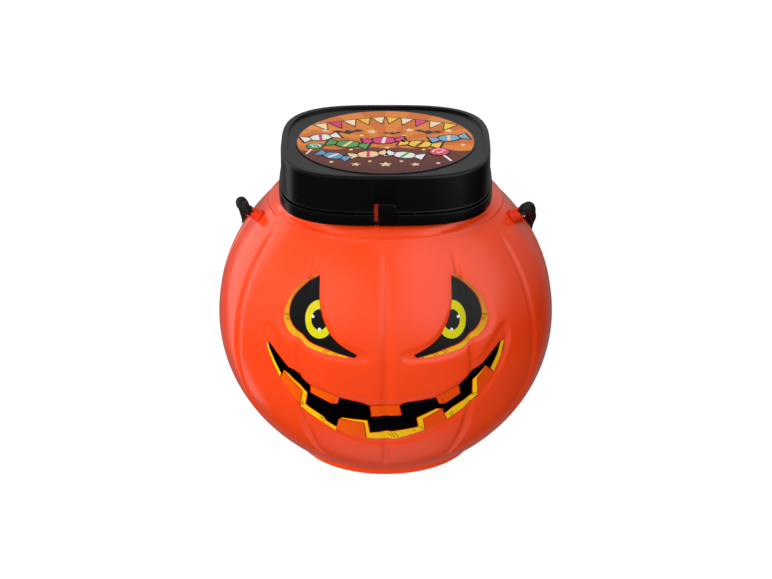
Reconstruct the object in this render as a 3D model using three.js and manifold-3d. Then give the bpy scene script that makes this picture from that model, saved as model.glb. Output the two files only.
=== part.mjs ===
// A round pumpkin jar for sweets: an orange shell with a printed face, a black press-on lid with a
// tear band and a pull tab, and a rope handle held by two plugs in the shoulder.
// Millimetres, +Z up, the face looks along -Y, and the origin is the centre of the foot's underside.
import * as THREE from 'three';
import { mergeVertices } from 'three/addons/utils/BufferGeometryUtils.js';
import Module from 'manifold-3d';

const wasm = await Module();
wasm.setup();

// Jar shell
const BODY_RADIUS = 100;
const BODY_CENTRE_Z = 83.4;
const LOWER_DEPTH = 96.8;
const LOWER_POWER = 1.9;
const BODY_WALL = 2.5;
const FOOT_RADIUS = 52.5;
const FOOT_HEIGHT = 5.2;
const FOOT_WIDTH = 6;
const BASE_PUSH_UP = 3;
const RIB_COUNT = 12;
const RIB_DEPTH = 1.3;
const RIB_HALF_ANGLE = 6;
const RIB_BOTTOM_Z = 14;
const RIB_TOP_Z = 152;
const RIB_FADE = 16;

// Neck, collar and the beads that the lid presses over
const SQUIRCLE_POWER = 3.2;
const COLLAR_ELEVATION = 46.3;
const COLLAR_STEP = 1.9;
const COLLAR_BEVEL = 1.3;
const NECK_WALL = 2.2;
const NECK_BEAD = 0.6;
const NECK_BEAD_HEIGHT = 3;
const NECK_BEAD_DROP = 10.5;
const LEDGE_WIDTH = 1.3;
const LEDGE_HEIGHT = 2;
const LEDGE_LIFT = 1.6;

// Lid, tear band and pull tab
const LID_HALF_WIDTH = 60.9;
const LID_HEIGHT = 29.3;
const LID_WALL = 1.8;
const LID_RIM_WIDTH = 3.9;
const LID_RIM_ROUND = 1.6;
const LID_PANEL_DROP = 1.5;
const LID_PANEL_THICKNESS = 2;
const SEAL_DEPTH = 4.8;
const SEAL_WALL = 1.6;
const BAND_FLARE = 1.3;
const BAND_WALL = 1.6;
const BAND_HEIGHT = 6.7;
const BAND_LIFT = 7.5;
const BAND_LIP_HEIGHT = 1.2;
const GROOVE_HEIGHT = 1;
const BRIDGE_COUNT = 12;
const BRIDGE_WIDTH = 1.2;
const TAB_LEFT_X = -3.6;
const TAB_RIGHT_X = 6.4;
const TAB_HEIGHT = 14.1;
const TAB_NUB = 1.1;
const SLOT_WIDTH = 2.9;
const STRAP_HEIGHT = 2;
const STRAP_LIFT = 0.6;

// Label on the lid and printed films on the face
const LABEL_RADIUS = 52.5;
const LABEL_THICKNESS = 0.3;
const RECESS_DEPTH = 1.5;
const FILM_THICKNESS = 0.4;

// Rope handle and its plugs
const ROPE_DIAMETER = 6.8;
const SEAT_AZIMUTH = 79.8;
const SEAT_ELEVATION = 41.6;
const PLUG_AZIMUTH = 75;
const PLUG_ELEVATION = 30;
const PLUG_STEM_RADIUS = 2.5;
const PLUG_BARB_RADIUS = 3.3;
const PLUG_BARB_LENGTH = 3.2;
const PLUG_FLANGE_RADIUS = 3.9;
const PLUG_FLANGE_THICKNESS = 1.3;
const PLUG_BARREL_RADIUS = 3.3;
const PLUG_BORE_RADIUS = 2.7;
const PLUG_LENGTH = 6.9;
const PRONG_LENGTH = 2.2;
const PRONG_COUNT = 6;

// Clearances
const CLEARANCE = 0.3;
const SLIDE_CLEARANCE = 0.5;
const FILM_GAP = 0.15;

// Facets
const ROUND_SEGMENTS = 60;
const SQUIRCLE_SEGMENTS = 64;
const MERIDIAN_STEPS = 8;
const PLUG_SEGMENTS = 24;
const ROPE_SIDES = 10;
const ROPE_STEPS = 42;
const CURVE_STEPS = 2;

// Radius and centre height of the body that the face outlines and the rope's route are drawn on
const DRAWN_RADIUS = 100;
const DRAWN_CENTRE_Z = 83.4;

// Face outlines seen from the front, as [x, z]. Each row is one smooth stretch, and rows meet in corners.
const EYE_FILM = [
  [[-38.8, 138.2], [-38.1, 126], [-35.2, 115.6], [-27.3, 104.5], [-16.7, 98.9]],
  [[-16.7, 98.9], [-17.3, 96.9]],
  [[-17.3, 96.9], [-29.3, 96.6], [-49.4, 103.2], [-58.1, 112.8], [-54.2, 123.9], [-38.8, 138.2]],
];
const EYE_RECESS = [
  [[-36.4, 138.4], [-35.6, 122], [-30.4, 109.5], [-20.5, 102.2], [-9.6, 100]],
  [[-9.6, 100], [-8.6, 97.6], [-12.4, 94.2]],
  [[-12.4, 94.2], [-29.5, 94], [-50, 99.6], [-61.6, 112.8], [-55.5, 129.1], [-41.5, 139.8], [-36.4, 138.4]],
];
const MOUTH_FILM = [
  [[-68, 94.6], [-60.4, 88.6], [-54.5, 83.2], [-48.9, 80.8], [-42.5, 75.6]],
  [[-42.5, 75.6], [-26.5, 70.8]],
  [[-26.5, 70.8], [-13.9, 68.5], [0, 67.4], [14, 68.7], [28.5, 70.6]],
  [[28.5, 70.6], [41.5, 76.1], [46.9, 80.8], [55.9, 87.1], [65.4, 96.2]],
  [[65.4, 96.2], [68.3, 96]],
  [[68.3, 96], [62, 78.8], [52.7, 65.3], [35.4, 53.1], [22, 46.7]],
  [[22, 46.7], [6.3, 41.4], [-10.7, 41.6], [-28.8, 46.4]],
  [[-28.8, 46.4], [-48.9, 60.1], [-60.2, 74.8], [-68, 94.6]],
];
const MOUTH_RECESS_RIGHT = [
  [[0, 70.9], [16.3, 73.3], [32, 78.2], [49, 87.6], [58.5, 98.2], [68.3, 106.8]],
  [[68.3, 106.8], [71.5, 100.4], [69.9, 87.6], [62.7, 73.4], [52.9, 58.8], [43.1, 48.4], [27, 39.8], [0, 36.9]],
];

// Rope route, chosen by hand, from each plug to the middle of the back
const ROPE_RIGHT = [
  [79.7, -14.88, 153.44], [80.29, -15.04, 153.79], [81.9, -12.1, 154.1], [83.15, -9.5, 153.8], [84, -6.4, 152.6],
  [84.8, -1.5, 150.1], [85.5, 5.8, 145.9], [86, 15.1, 140.1], [87.1, 26.4, 133.6], [86.6, 40.5, 124.2],
  [84.8, 55, 109.1], [78, 71, 91], [69.5, 81, 79], [58, 89.6, 68.5], [44, 96.4, 60], [29, 100.6, 54.4],
  [14, 102.5, 51.4],
];
const ROPE_MIDDLE = [0, 103, 50.6];
const ROPE_LEFT = [
  [-79.7, -14.88, 153.44], [-80.29, -15.04, 153.79], [-82.1, -12.5, 154.3], [-83.5, -10, 154.9], [-84.3, -6.7, 154.8],
  [-84.85, -1.3, 153.6], [-85, 6.5, 150.4], [-84.5, 15.9, 144.8], [-84.6, 26.7, 137.6], [-84.45, 40.9, 128.1],
  [-83.4, 55.3, 113], [-76.4, 72, 93], [-68.6, 81.4, 80.4], [-57.6, 89.8, 69.4], [-44, 96.4, 60.4],
  [-29, 100.6, 54.5], [-14, 102.5, 51.4],
];

const LOOKS = {
  orange: { color: 0xff4812, roughness: 0.3, metalness: 0 },
  plug: { color: 0xf03a08, roughness: 0.35, metalness: 0 },
  black: { color: 0x101010, roughness: 0.38, metalness: 0 },
  rope: { color: 0x1c1c1e, roughness: 0.9, metalness: 0 },
  label: { color: 0xe8924c, roughness: 0.5, metalness: 0 },
  film: { color: 0xe6b41e, roughness: 0.4, metalness: 0 },
};

// A closed three.js geometry as a solid: vertices merged, flat triangles dropped, faces turned outwards
function toSolid(geometry) {
  const bare = geometry.index ? geometry.toNonIndexed() : geometry.clone();
  bare.deleteAttribute('normal');
  bare.deleteAttribute('uv');
  const merged = mergeVertices(bare, 1e-4);
  const place = merged.getAttribute('position');
  const corners = [new THREE.Vector3(), new THREE.Vector3(), new THREE.Vector3()];
  const triangles = [];
  let volume = 0;
  for (let i = 0; i < merged.index.count; i += 3) {
    const ids = [0, 1, 2].map((k) => merged.index.getX(i + k));
    if (new Set(ids).size < 3) continue;
    ids.forEach((id, k) => corners[k].fromBufferAttribute(place, id));
    volume += corners[0].dot(corners[1].cross(corners[2]));
    triangles.push(ids);
  }
  const outward = volume < 0 ? triangles.map(([a, b, c]) => [a, c, b]) : triangles;
  return new wasm.Manifold(new wasm.Mesh({
    numProp: 3,
    vertProperties: Float32Array.from(place.array),
    triVerts: Uint32Array.from(outward.flat()),
  }));
}

// A solid back as a three.js geometry
function toGeometry(solid) {
  const mesh = solid.getMesh();
  const geometry = new THREE.BufferGeometry();
  geometry.setAttribute('position', new THREE.BufferAttribute(Float32Array.from(mesh.vertProperties), 3));
  geometry.setIndex(new THREE.BufferAttribute(Uint32Array.from(mesh.triVerts), 1));
  geometry.computeVertexNormals();
  return geometry;
}

// A profile of [radius, z] points turned about the Z axis
function turned(profile, segments) {
  const points = profile.map(([radius, z]) => new THREE.Vector2(Math.max(radius, 0), z));
  return new THREE.LatheGeometry(points, segments).rotateX(Math.PI / 2);
}

// Moves every point of a geometry along the direction away from the Z axis
function reshapeRadius(geometry, newRadius) {
  const place = geometry.getAttribute('position');
  for (let i = 0; i < place.count; i += 1) {
    const [x, y, z] = [place.getX(i), place.getY(i), place.getZ(i)];
    const radius = Math.hypot(x, y);
    if (radius < 1e-6) continue;
    const scale = newRadius(radius, Math.atan2(x, -y), z) / radius;
    place.setXY(i, x * scale, y * scale);
  }
  return geometry;
}

// How much further a squircle of half width 1 reaches at an angle than along its axes
function squircleReach(angle) {
  const sum = Math.abs(Math.cos(angle)) ** SQUIRCLE_POWER + Math.abs(Math.sin(angle)) ** SQUIRCLE_POWER;
  return sum ** (-1 / SQUIRCLE_POWER);
}

// A profile of [half width, z] points carried round a squircle, as a solid
function squircleTurned(profile) {
  const geometry = turned(profile, SQUIRCLE_SEGMENTS);
  return toSolid(reshapeRadius(geometry, (radius, angle) => radius * squircleReach(angle)));
}

// A squircle ring with a plain rectangular section
function squircleRing(inner, outer, low, high) {
  return squircleTurned([[inner, low], [outer, low], [outer, high], [inner, high], [inner, low]]);
}

// A full squircle block
function squircleBlock(half, low, high) {
  return squircleTurned([[0, low], [half, low], [half, high], [0, high]]);
}

// A drawn height carried over to the body's real size
function fitHeight(z) {
  return BODY_CENTRE_Z + (z - DRAWN_CENTRE_Z) * DRAWN_SCALE;
}

// Corner points of an outline made of smooth stretches that meet in corners
function outlinePoints(stretches) {
  return stretches.flatMap((row) => {
    const points = row.map(([x, z]) => new THREE.Vector2(x * DRAWN_SCALE, fitHeight(z)));
    const steps = row.length > 2 ? (row.length - 1) * CURVE_STEPS : 1;
    return new THREE.SplineCurve(points).getPoints(steps).slice(0, -1);
  });
}

// An outline in front view, [x, z], carried from the Z axis out through the front
function frontPrism(points) {
  const shape = new THREE.Shape(points);
  const depth = BODY_RADIUS * 1.2;
  return toSolid(new THREE.ExtrudeGeometry(shape, { depth, bevelEnabled: false }).rotateX(Math.PI / 2));
}

function mirrored(stretches) {
  return stretches.map((row) => row.map(([x, z]) => [-x, z]).reverse()).reverse();
}

// Radius of the smooth body at a height, for a skin drawn in by an amount
function bodyRadius(z, inset) {
  const radius = BODY_RADIUS - inset;
  const rise = z - BODY_CENTRE_Z;
  if (rise >= 0) return Math.sqrt(Math.max(radius ** 2 - rise ** 2, 0));
  const share = Math.min(-rise / (LOWER_DEPTH - inset), 1);
  return radius * (1 - share ** LOWER_POWER) ** (1 / LOWER_POWER);
}

// Depth of the pumpkin's ribs: straight-sided grooves that fade out near the foot and the collar
function ribDepth(angle, z) {
  const pitch = 360 / RIB_COUNT;
  const degrees = THREE.MathUtils.radToDeg(angle);
  const away = Math.abs(degrees - pitch * Math.round(degrees / pitch));
  const fade = Math.min((z - RIB_BOTTOM_Z) / RIB_FADE, (RIB_TOP_Z - z) / RIB_FADE, 1);
  return RIB_DEPTH * Math.max(1 - away / RIB_HALF_ANGLE, 0) * Math.max(fade, 0);
}

// Heights of the body's rings, closer together where the surface turns
function bodyLevels(low, high) {
  const levels = [];
  const lowTurn = Math.asin(Math.min((BODY_CENTRE_Z - low) / LOWER_DEPTH, 1));
  const highTurn = Math.asin(Math.min((high - BODY_CENTRE_Z) / BODY_RADIUS, 1));
  for (let i = 0; i <= MERIDIAN_STEPS; i += 1) {
    levels.push(BODY_CENTRE_Z - LOWER_DEPTH * Math.sin(lowTurn * (1 - i / MERIDIAN_STEPS)));
  }
  for (let i = 1; i <= MERIDIAN_STEPS; i += 1) {
    levels.push(BODY_CENTRE_Z + BODY_RADIUS * Math.sin(highTurn * (i / MERIDIAN_STEPS)));
  }
  return levels;
}

// The ribbed pumpkin as a full solid, drawn in by an amount, between two heights
function pumpkin(inset, low, high) {
  const wall = bodyLevels(low, high).map((z) => [bodyRadius(z, inset), z]);
  const geometry = turned([[0, low], ...wall, [0, high]], ROUND_SEGMENTS);
  return toSolid(reshapeRadius(geometry, (radius, angle, z) => radius - Math.min(ribDepth(angle, z), radius)));
}

// Sizes that follow from the ones above
const COLLAR_RADIUS = BODY_RADIUS * Math.cos(THREE.MathUtils.degToRad(COLLAR_ELEVATION));
const COLLAR_FOOT_Z = BODY_CENTRE_Z + BODY_RADIUS * Math.sin(THREE.MathUtils.degToRad(COLLAR_ELEVATION));
const BAND_BOTTOM_Z = COLLAR_FOOT_Z + BAND_LIFT;
const BAND_HALF_WIDTH = LID_HALF_WIDTH + BAND_FLARE;
const COLLAR_TOP_Z = BAND_BOTTOM_Z - SLIDE_CLEARANCE;
const LID_TOP_Z = BAND_BOTTOM_Z + LID_HEIGHT;
const PANEL_Z = LID_TOP_Z - LID_PANEL_DROP;
const LID_UNDERSIDE_Z = PANEL_Z - LID_PANEL_THICKNESS;
const LID_INNER_HALF = LID_HALF_WIDTH - LID_WALL;
const NECK_TOP_Z = LID_UNDERSIDE_Z - CLEARANCE;
const NECK_HALF = LID_INNER_HALF - SLIDE_CLEARANCE - NECK_BEAD;
const NECK_BORE_HALF = NECK_HALF - NECK_WALL;
const NECK_BEAD_Z = NECK_TOP_Z - NECK_BEAD_DROP;
const BAND_TOP_Z = BAND_BOTTOM_Z + BAND_HEIGHT;
const SKIRT_BOTTOM_Z = BAND_TOP_Z + GROOVE_HEIGHT;
const BAND_INNER_HALF = BAND_HALF_WIDTH - BAND_WALL;
const BAND_LIP_HALF = LID_INNER_HALF + CLEARANCE;
const SLOT_LEFT_X = TAB_LEFT_X - SLOT_WIDTH;
const TAB_TOP_Z = BAND_BOTTOM_Z + TAB_HEIGHT;
const DRAWN_SCALE = BODY_RADIUS / DRAWN_RADIUS;
const FILM_UNDERSIDE = RECESS_DEPTH - FILM_GAP;
const FILM_TOP = FILM_UNDERSIDE - FILM_THICKNESS;

// A direction from the body's centre, by its angle from the front and its rise, on one side of the jar
function direction(side, azimuth, elevation) {
  const angle = THREE.MathUtils.degToRad(azimuth);
  const rise = THREE.MathUtils.degToRad(elevation);
  const level = Math.cos(rise);
  return new THREE.Vector3(side * level * Math.sin(angle), -level * Math.cos(angle), Math.sin(rise));
}

// Where a plug sits on the shoulder, the way it points, and how far that leans from straight out
function plugPlace(side) {
  const outward = direction(side, SEAT_AZIMUTH, SEAT_ELEVATION);
  const along = direction(side, PLUG_AZIMUTH, PLUG_ELEVATION);
  const seat = outward.clone().multiplyScalar(BODY_RADIUS).add(new THREE.Vector3(0, 0, BODY_CENTRE_Z));
  const turn = new THREE.Quaternion().setFromUnitVectors(new THREE.Vector3(0, 0, 1), along);
  return { seat, turn, lean: outward.angleTo(along) };
}

// A round bar through the shoulder at a plug
function plugHole(side) {
  const { seat, turn } = plugPlace(side);
  const reach = 2 * (PLUG_BARB_LENGTH + BODY_WALL);
  const bar = new THREE.CylinderGeometry(
    PLUG_STEM_RADIUS + CLEARANCE,
    PLUG_STEM_RADIUS + CLEARANCE,
    2 * reach,
    PLUG_SEGMENTS,
  );
  bar.rotateX(Math.PI / 2).applyQuaternion(turn).translate(seat.x, seat.y, seat.z);
  return toSolid(bar);
}

// What is cut out of the body for one part of the face, down to the recess floor
function faceRecess(points) {
  return frontPrism(points).subtract(pumpkin(RECESS_DEPTH, 0, COLLAR_FOOT_Z));
}

// A film that lies on the recess floor
function faceFilm(points) {
  const top = pumpkin(FILM_TOP, 0, COLLAR_FOOT_Z);
  return frontPrism(points).intersect(top).subtract(pumpkin(FILM_UNDERSIDE, 0, COLLAR_FOOT_Z));
}

// The jar: pumpkin shell, foot, collar and neck in one moulding
function jarBody() {
  const foot = toSolid(turned([
    [0, 0],
    [FOOT_RADIUS, 0],
    [FOOT_RADIUS, FOOT_HEIGHT],
    [FOOT_RADIUS - FOOT_WIDTH, 2 * FOOT_HEIGHT],
    [0, 2 * FOOT_HEIGHT],
  ], ROUND_SEGMENTS));
  const collar = toSolid(turned([
    [0, COLLAR_FOOT_Z - COLLAR_STEP],
    [COLLAR_RADIUS, COLLAR_FOOT_Z - COLLAR_STEP],
    [COLLAR_RADIUS, COLLAR_FOOT_Z + COLLAR_STEP - COLLAR_BEVEL],
    [COLLAR_RADIUS - COLLAR_BEVEL, COLLAR_FOOT_Z + COLLAR_STEP],
    [NECK_HALF + LEDGE_WIDTH, COLLAR_TOP_Z],
    [0, COLLAR_TOP_Z],
  ], ROUND_SEGMENTS));
  const neck = squircleTurned([
    [0, COLLAR_FOOT_Z],
    [NECK_HALF, COLLAR_FOOT_Z],
    [NECK_HALF, COLLAR_TOP_Z + LEDGE_LIFT],
    [NECK_HALF + LEDGE_WIDTH, COLLAR_TOP_Z + LEDGE_LIFT],
    [NECK_HALF + LEDGE_WIDTH, COLLAR_TOP_Z + LEDGE_LIFT + LEDGE_HEIGHT],
    [NECK_HALF, COLLAR_TOP_Z + LEDGE_LIFT + LEDGE_HEIGHT],
    [NECK_HALF, NECK_BEAD_Z - NECK_BEAD_HEIGHT / 2],
    [NECK_HALF + NECK_BEAD, NECK_BEAD_Z],
    [NECK_HALF, NECK_BEAD_Z + NECK_BEAD_HEIGHT / 2],
    [NECK_HALF, NECK_TOP_Z],
    [0, NECK_TOP_Z],
  ]);
  const inside = pumpkin(BODY_WALL, BASE_PUSH_UP + BODY_WALL, COLLAR_FOOT_Z);
  const bore = squircleBlock(NECK_BORE_HALF, COLLAR_FOOT_Z - BODY_WALL, NECK_TOP_Z + 1);
  const pushUp = toSolid(turned([
    [0, -1],
    [FOOT_RADIUS - FOOT_WIDTH, -1],
    [FOOT_RADIUS - FOOT_WIDTH, 0],
    [FOOT_RADIUS - FOOT_WIDTH - BASE_PUSH_UP, BASE_PUSH_UP],
    [0, BASE_PUSH_UP],
  ], ROUND_SEGMENTS));
  const mouthRecess = [...mirrored(MOUTH_RECESS_RIGHT), ...MOUTH_RECESS_RIGHT];
  return pumpkin(0, FOOT_HEIGHT, COLLAR_TOP_Z)
    .add(foot)
    .add(collar)
    .add(neck)
    .subtract(inside)
    .subtract(bore)
    .subtract(pushUp)
    .subtract(faceRecess(outlinePoints(EYE_RECESS)))
    .subtract(faceRecess(outlinePoints(mirrored(EYE_RECESS))))
    .subtract(faceRecess(outlinePoints(mouthRecess)))
    .subtract(plugHole(-1))
    .subtract(plugHole(1));
}

// The pull tab's outline in front view, grown by a clearance for the notch it sits in
function tabOutline(grow) {
  const [left, right, top] = [TAB_LEFT_X - grow, TAB_RIGHT_X + grow, TAB_TOP_Z + grow];
  return [
    [left, BAND_BOTTOM_Z - grow],
    [left, top - TAB_NUB],
    [left + TAB_NUB, top - TAB_NUB],
    [left + 1.5 * TAB_NUB, top],
    [right - TAB_NUB, top - TAB_NUB],
    [right, top - 2 * TAB_NUB],
    [right, BAND_BOTTOM_Z - grow],
  ].map(([x, z]) => new THREE.Vector2(x, z));
}

// The notch and the slot beside it, open at the bottom edge
function tabNotch() {
  const slot = [
    [SLOT_LEFT_X, BAND_BOTTOM_Z - 1],
    [TAB_LEFT_X, BAND_BOTTOM_Z - 1],
    [TAB_LEFT_X, TAB_TOP_Z - TAB_NUB],
    [SLOT_LEFT_X, TAB_TOP_Z - TAB_NUB],
  ].map(([x, z]) => new THREE.Vector2(x, z));
  return frontPrism(tabOutline(CLEARANCE)).add(frontPrism(slot));
}

// The lid: recessed panel inside a rounded rim, skirt, and a seal ring that plugs the neck
function lid() {
  const sealOuter = NECK_BORE_HALF - SLIDE_CLEARANCE;
  const shell = squircleTurned([
    [0, LID_UNDERSIDE_Z],
    [sealOuter - SEAL_WALL, LID_UNDERSIDE_Z],
    [sealOuter - SEAL_WALL, LID_UNDERSIDE_Z - SEAL_DEPTH],
    [sealOuter, LID_UNDERSIDE_Z - SEAL_DEPTH],
    [sealOuter, LID_UNDERSIDE_Z],
    [LID_INNER_HALF, LID_UNDERSIDE_Z],
    [LID_INNER_HALF, SKIRT_BOTTOM_Z],
    [LID_HALF_WIDTH, SKIRT_BOTTOM_Z],
    [LID_HALF_WIDTH, LID_TOP_Z - LID_RIM_ROUND],
    [LID_HALF_WIDTH - 0.3 * LID_RIM_ROUND, LID_TOP_Z - 0.3 * LID_RIM_ROUND],
    [LID_HALF_WIDTH - LID_RIM_ROUND, LID_TOP_Z],
    [LID_HALF_WIDTH - LID_RIM_WIDTH, LID_TOP_Z],
    [LID_HALF_WIDTH - LID_RIM_WIDTH, PANEL_Z],
    [0, PANEL_Z],
  ]);
  return shell.subtract(tabNotch());
}

// A point on a squircle at an angle from the front
function squirclePoint(half, angle) {
  const reach = half * squircleReach(angle);
  return [reach * Math.sin(angle), -reach * Math.cos(angle)];
}

// The tear band: an open ring with a lip at the top, thin bridges up to the skirt, and a strap to the tab
function tearBand() {
  let band = squircleTurned([
    [BAND_INNER_HALF, BAND_BOTTOM_Z],
    [BAND_HALF_WIDTH, BAND_BOTTOM_Z],
    [BAND_HALF_WIDTH, BAND_TOP_Z],
    [BAND_LIP_HALF, BAND_TOP_Z],
    [BAND_LIP_HALF, BAND_TOP_Z - BAND_LIP_HEIGHT],
    [BAND_INNER_HALF, BAND_TOP_Z - BAND_LIP_HEIGHT],
    [BAND_INNER_HALF, BAND_BOTTOM_Z],
  ]).subtract(tabNotch());
  const bridgeHeight = GROOVE_HEIGHT - CLEARANCE + BAND_LIP_HEIGHT / 2;
  const bridgeHalf = (BAND_LIP_HALF + LID_HALF_WIDTH) / 2;
  for (let i = 0; i < BRIDGE_COUNT; i += 1) {
    const angle = (2 * Math.PI * (i + 0.5)) / BRIDGE_COUNT;
    const [x, y] = squirclePoint(bridgeHalf, angle);
    const post = new THREE.BoxGeometry(BRIDGE_WIDTH, LID_HALF_WIDTH - BAND_LIP_HALF, bridgeHeight);
    post.rotateZ(angle).translate(x, y, SKIRT_BOTTOM_Z - CLEARANCE - bridgeHeight / 2);
    band = band.add(toSolid(post));
  }
  const strapLength = SLOT_WIDTH - CLEARANCE + BRIDGE_WIDTH;
  const strap = new THREE.BoxGeometry(strapLength, BAND_WALL / 2, STRAP_HEIGHT);
  strap.translate(
    TAB_LEFT_X - CLEARANCE - strapLength / 2,
    -(BAND_INNER_HALF + BAND_HALF_WIDTH) / 2,
    BAND_BOTTOM_Z + STRAP_LIFT + STRAP_HEIGHT / 2,
  );
  return band.add(toSolid(strap));
}

// The pull tab: the start of the band, taller than the rest of it
function tearTab() {
  const ring = squircleRing(BAND_INNER_HALF, BAND_HALF_WIDTH, BAND_BOTTOM_Z, TAB_TOP_Z);
  return ring.intersect(frontPrism(tabOutline(0)));
}

// The round label that lies in the lid's panel
function lidLabel() {
  const disc = new THREE.CylinderGeometry(LABEL_RADIUS, LABEL_RADIUS, LABEL_THICKNESS, ROUND_SEGMENTS);
  disc.rotateX(Math.PI / 2).translate(0, 0, PANEL_Z + FILM_GAP + LABEL_THICKNESS / 2);
  return toSolid(disc);
}

// A handle plug with its seat on the origin: a barbed stem, a flange whose underside follows the leaning
// shoulder, and a barrel with a crown of prongs
function handlePlug(side) {
  const { seat, turn, lean } = plugPlace(side);
  const barbTop = -(BODY_WALL + PLUG_BARB_RADIUS * Math.sin(lean) + SLIDE_CLEARANCE) / Math.cos(lean);
  const stem = toSolid(turned([
    [0, barbTop - PLUG_BARB_LENGTH],
    [PLUG_STEM_RADIUS - SLIDE_CLEARANCE, barbTop - PLUG_BARB_LENGTH],
    [PLUG_BARB_RADIUS, barbTop],
    [PLUG_STEM_RADIUS, barbTop],
    [PLUG_STEM_RADIUS, CLEARANCE + PLUG_FLANGE_THICKNESS],
    [0, CLEARANCE + PLUG_FLANGE_THICKNESS],
  ], PLUG_SEGMENTS));
  const shoulder = pumpkin(-CLEARANCE, FOOT_HEIGHT, COLLAR_FOOT_Z);
  const toPlug = new THREE.Matrix4().compose(seat, turn, new THREE.Vector3(1, 1, 1)).invert();
  const geometry = turned([
    [0, -PLUG_FLANGE_RADIUS],
    [PLUG_FLANGE_RADIUS, -PLUG_FLANGE_RADIUS],
    [PLUG_FLANGE_RADIUS, CLEARANCE + PLUG_FLANGE_THICKNESS],
    [PLUG_BARREL_RADIUS, CLEARANCE + PLUG_FLANGE_THICKNESS],
    [PLUG_BARREL_RADIUS, PLUG_LENGTH],
    [PLUG_BORE_RADIUS, PLUG_LENGTH],
    [PLUG_BORE_RADIUS, PLUG_LENGTH - 1.4 * PRONG_LENGTH],
    [0, PLUG_LENGTH - 1.4 * PRONG_LENGTH],
  ], PLUG_SEGMENTS);
  const place = geometry.getAttribute('position');
  for (let i = 0; i < place.count; i += 1) {
    if (place.getZ(i) < PLUG_LENGTH - 1e-6) continue;
    const turns = (Math.atan2(place.getY(i), place.getX(i)) / (2 * Math.PI)) * PRONG_COUNT;
    const valley = 2 * Math.abs(turns - Math.round(turns));
    place.setZ(i, PLUG_LENGTH - PRONG_LENGTH * valley);
  }
  return toSolid(geometry).subtract(shoulder.transform(toPlug.elements)).add(stem);
}

// The rope: one tube from plug to plug, hanging behind the jar
function handleRope() {
  const route = [...ROPE_RIGHT, ROPE_MIDDLE, ...[...ROPE_LEFT].reverse()];
  const path = new THREE.CatmullRomCurve3(route.map(([x, y, z]) => (
    new THREE.Vector3(x * DRAWN_SCALE, y * DRAWN_SCALE, fitHeight(z))
  )));
  const section = new THREE.Shape();
  for (let i = 0; i < ROPE_SIDES; i += 1) {
    const angle = (2 * Math.PI * i) / ROPE_SIDES;
    const [x, y] = [(ROPE_DIAMETER / 2) * Math.cos(angle), (ROPE_DIAMETER / 2) * Math.sin(angle)];
    if (i === 0) section.moveTo(x, y);
    else section.lineTo(x, y);
  }
  return toSolid(new THREE.ExtrudeGeometry(section, { steps: ROPE_STEPS, extrudePath: path }));
}

const part = new THREE.Group();

function addPiece(name, solid, look) {
  const mesh = new THREE.Mesh(toGeometry(solid), new THREE.MeshStandardMaterial(look));
  mesh.name = name;
  part.add(mesh);
  return mesh;
}

addPiece('jar_body', jarBody(), LOOKS.orange);
addPiece('lid', lid(), LOOKS.black);
addPiece('tear_band', tearBand(), LOOKS.black);
addPiece('tear_tab', tearTab(), LOOKS.black);
addPiece('lid_label', lidLabel(), LOOKS.label);
addPiece('left_eye_film', faceFilm(outlinePoints(EYE_FILM)), LOOKS.film);
addPiece('right_eye_film', faceFilm(outlinePoints(mirrored(EYE_FILM))), LOOKS.film);
addPiece('mouth_film', faceFilm(outlinePoints(MOUTH_FILM)), LOOKS.film);
addPiece('handle_rope', handleRope(), LOOKS.rope);
for (const [name, side] of [['left_handle_plug', -1], ['right_handle_plug', 1]]) {
  const { seat, turn } = plugPlace(side);
  const plug = addPiece(name, handlePlug(side), LOOKS.plug);
  plug.position.copy(seat);
  plug.quaternion.copy(turn);
}

export default part;
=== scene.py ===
import math

import bmesh
import bpy
import numpy as np
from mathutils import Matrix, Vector


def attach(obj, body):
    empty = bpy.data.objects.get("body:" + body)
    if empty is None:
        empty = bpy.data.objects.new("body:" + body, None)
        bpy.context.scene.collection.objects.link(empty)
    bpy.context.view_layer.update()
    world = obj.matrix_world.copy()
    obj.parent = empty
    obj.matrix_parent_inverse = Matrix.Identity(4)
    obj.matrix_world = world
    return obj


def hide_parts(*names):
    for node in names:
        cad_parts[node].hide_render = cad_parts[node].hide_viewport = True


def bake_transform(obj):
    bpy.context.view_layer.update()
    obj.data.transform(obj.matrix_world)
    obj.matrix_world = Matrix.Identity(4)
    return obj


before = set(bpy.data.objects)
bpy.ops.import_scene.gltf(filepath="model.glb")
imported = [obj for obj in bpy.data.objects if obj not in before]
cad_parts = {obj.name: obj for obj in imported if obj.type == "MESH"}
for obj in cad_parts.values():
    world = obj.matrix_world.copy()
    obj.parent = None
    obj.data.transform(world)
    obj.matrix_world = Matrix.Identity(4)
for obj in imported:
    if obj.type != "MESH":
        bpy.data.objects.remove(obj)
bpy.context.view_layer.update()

# A round pumpkin jar for sweets. Sizes are millimetres, +Z is up and the face looks along -Y.
MM = 0.001

# Jar shell
BODY_RADIUS = 100
BODY_CENTRE_Z = 83.4
LOWER_DEPTH = 96.8
LOWER_POWER = 1.9
BODY_WALL = 2.5
WAIST_TRIM = 0.5
WAIST_REACH = 45
FOOT_RADIUS = 52.5
FOOT_HEIGHT = 5.2
FOOT_WIDTH = 6
BASE_PUSH_UP = 3
RIB_PITCH = 30
RIB_DEPTH = 1.3
RIB_HALF_ANGLE = 2.5
RIB_BOTTOM_Z = 12
RIB_TOP_Z = 154
RIB_FADE = 14

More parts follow.
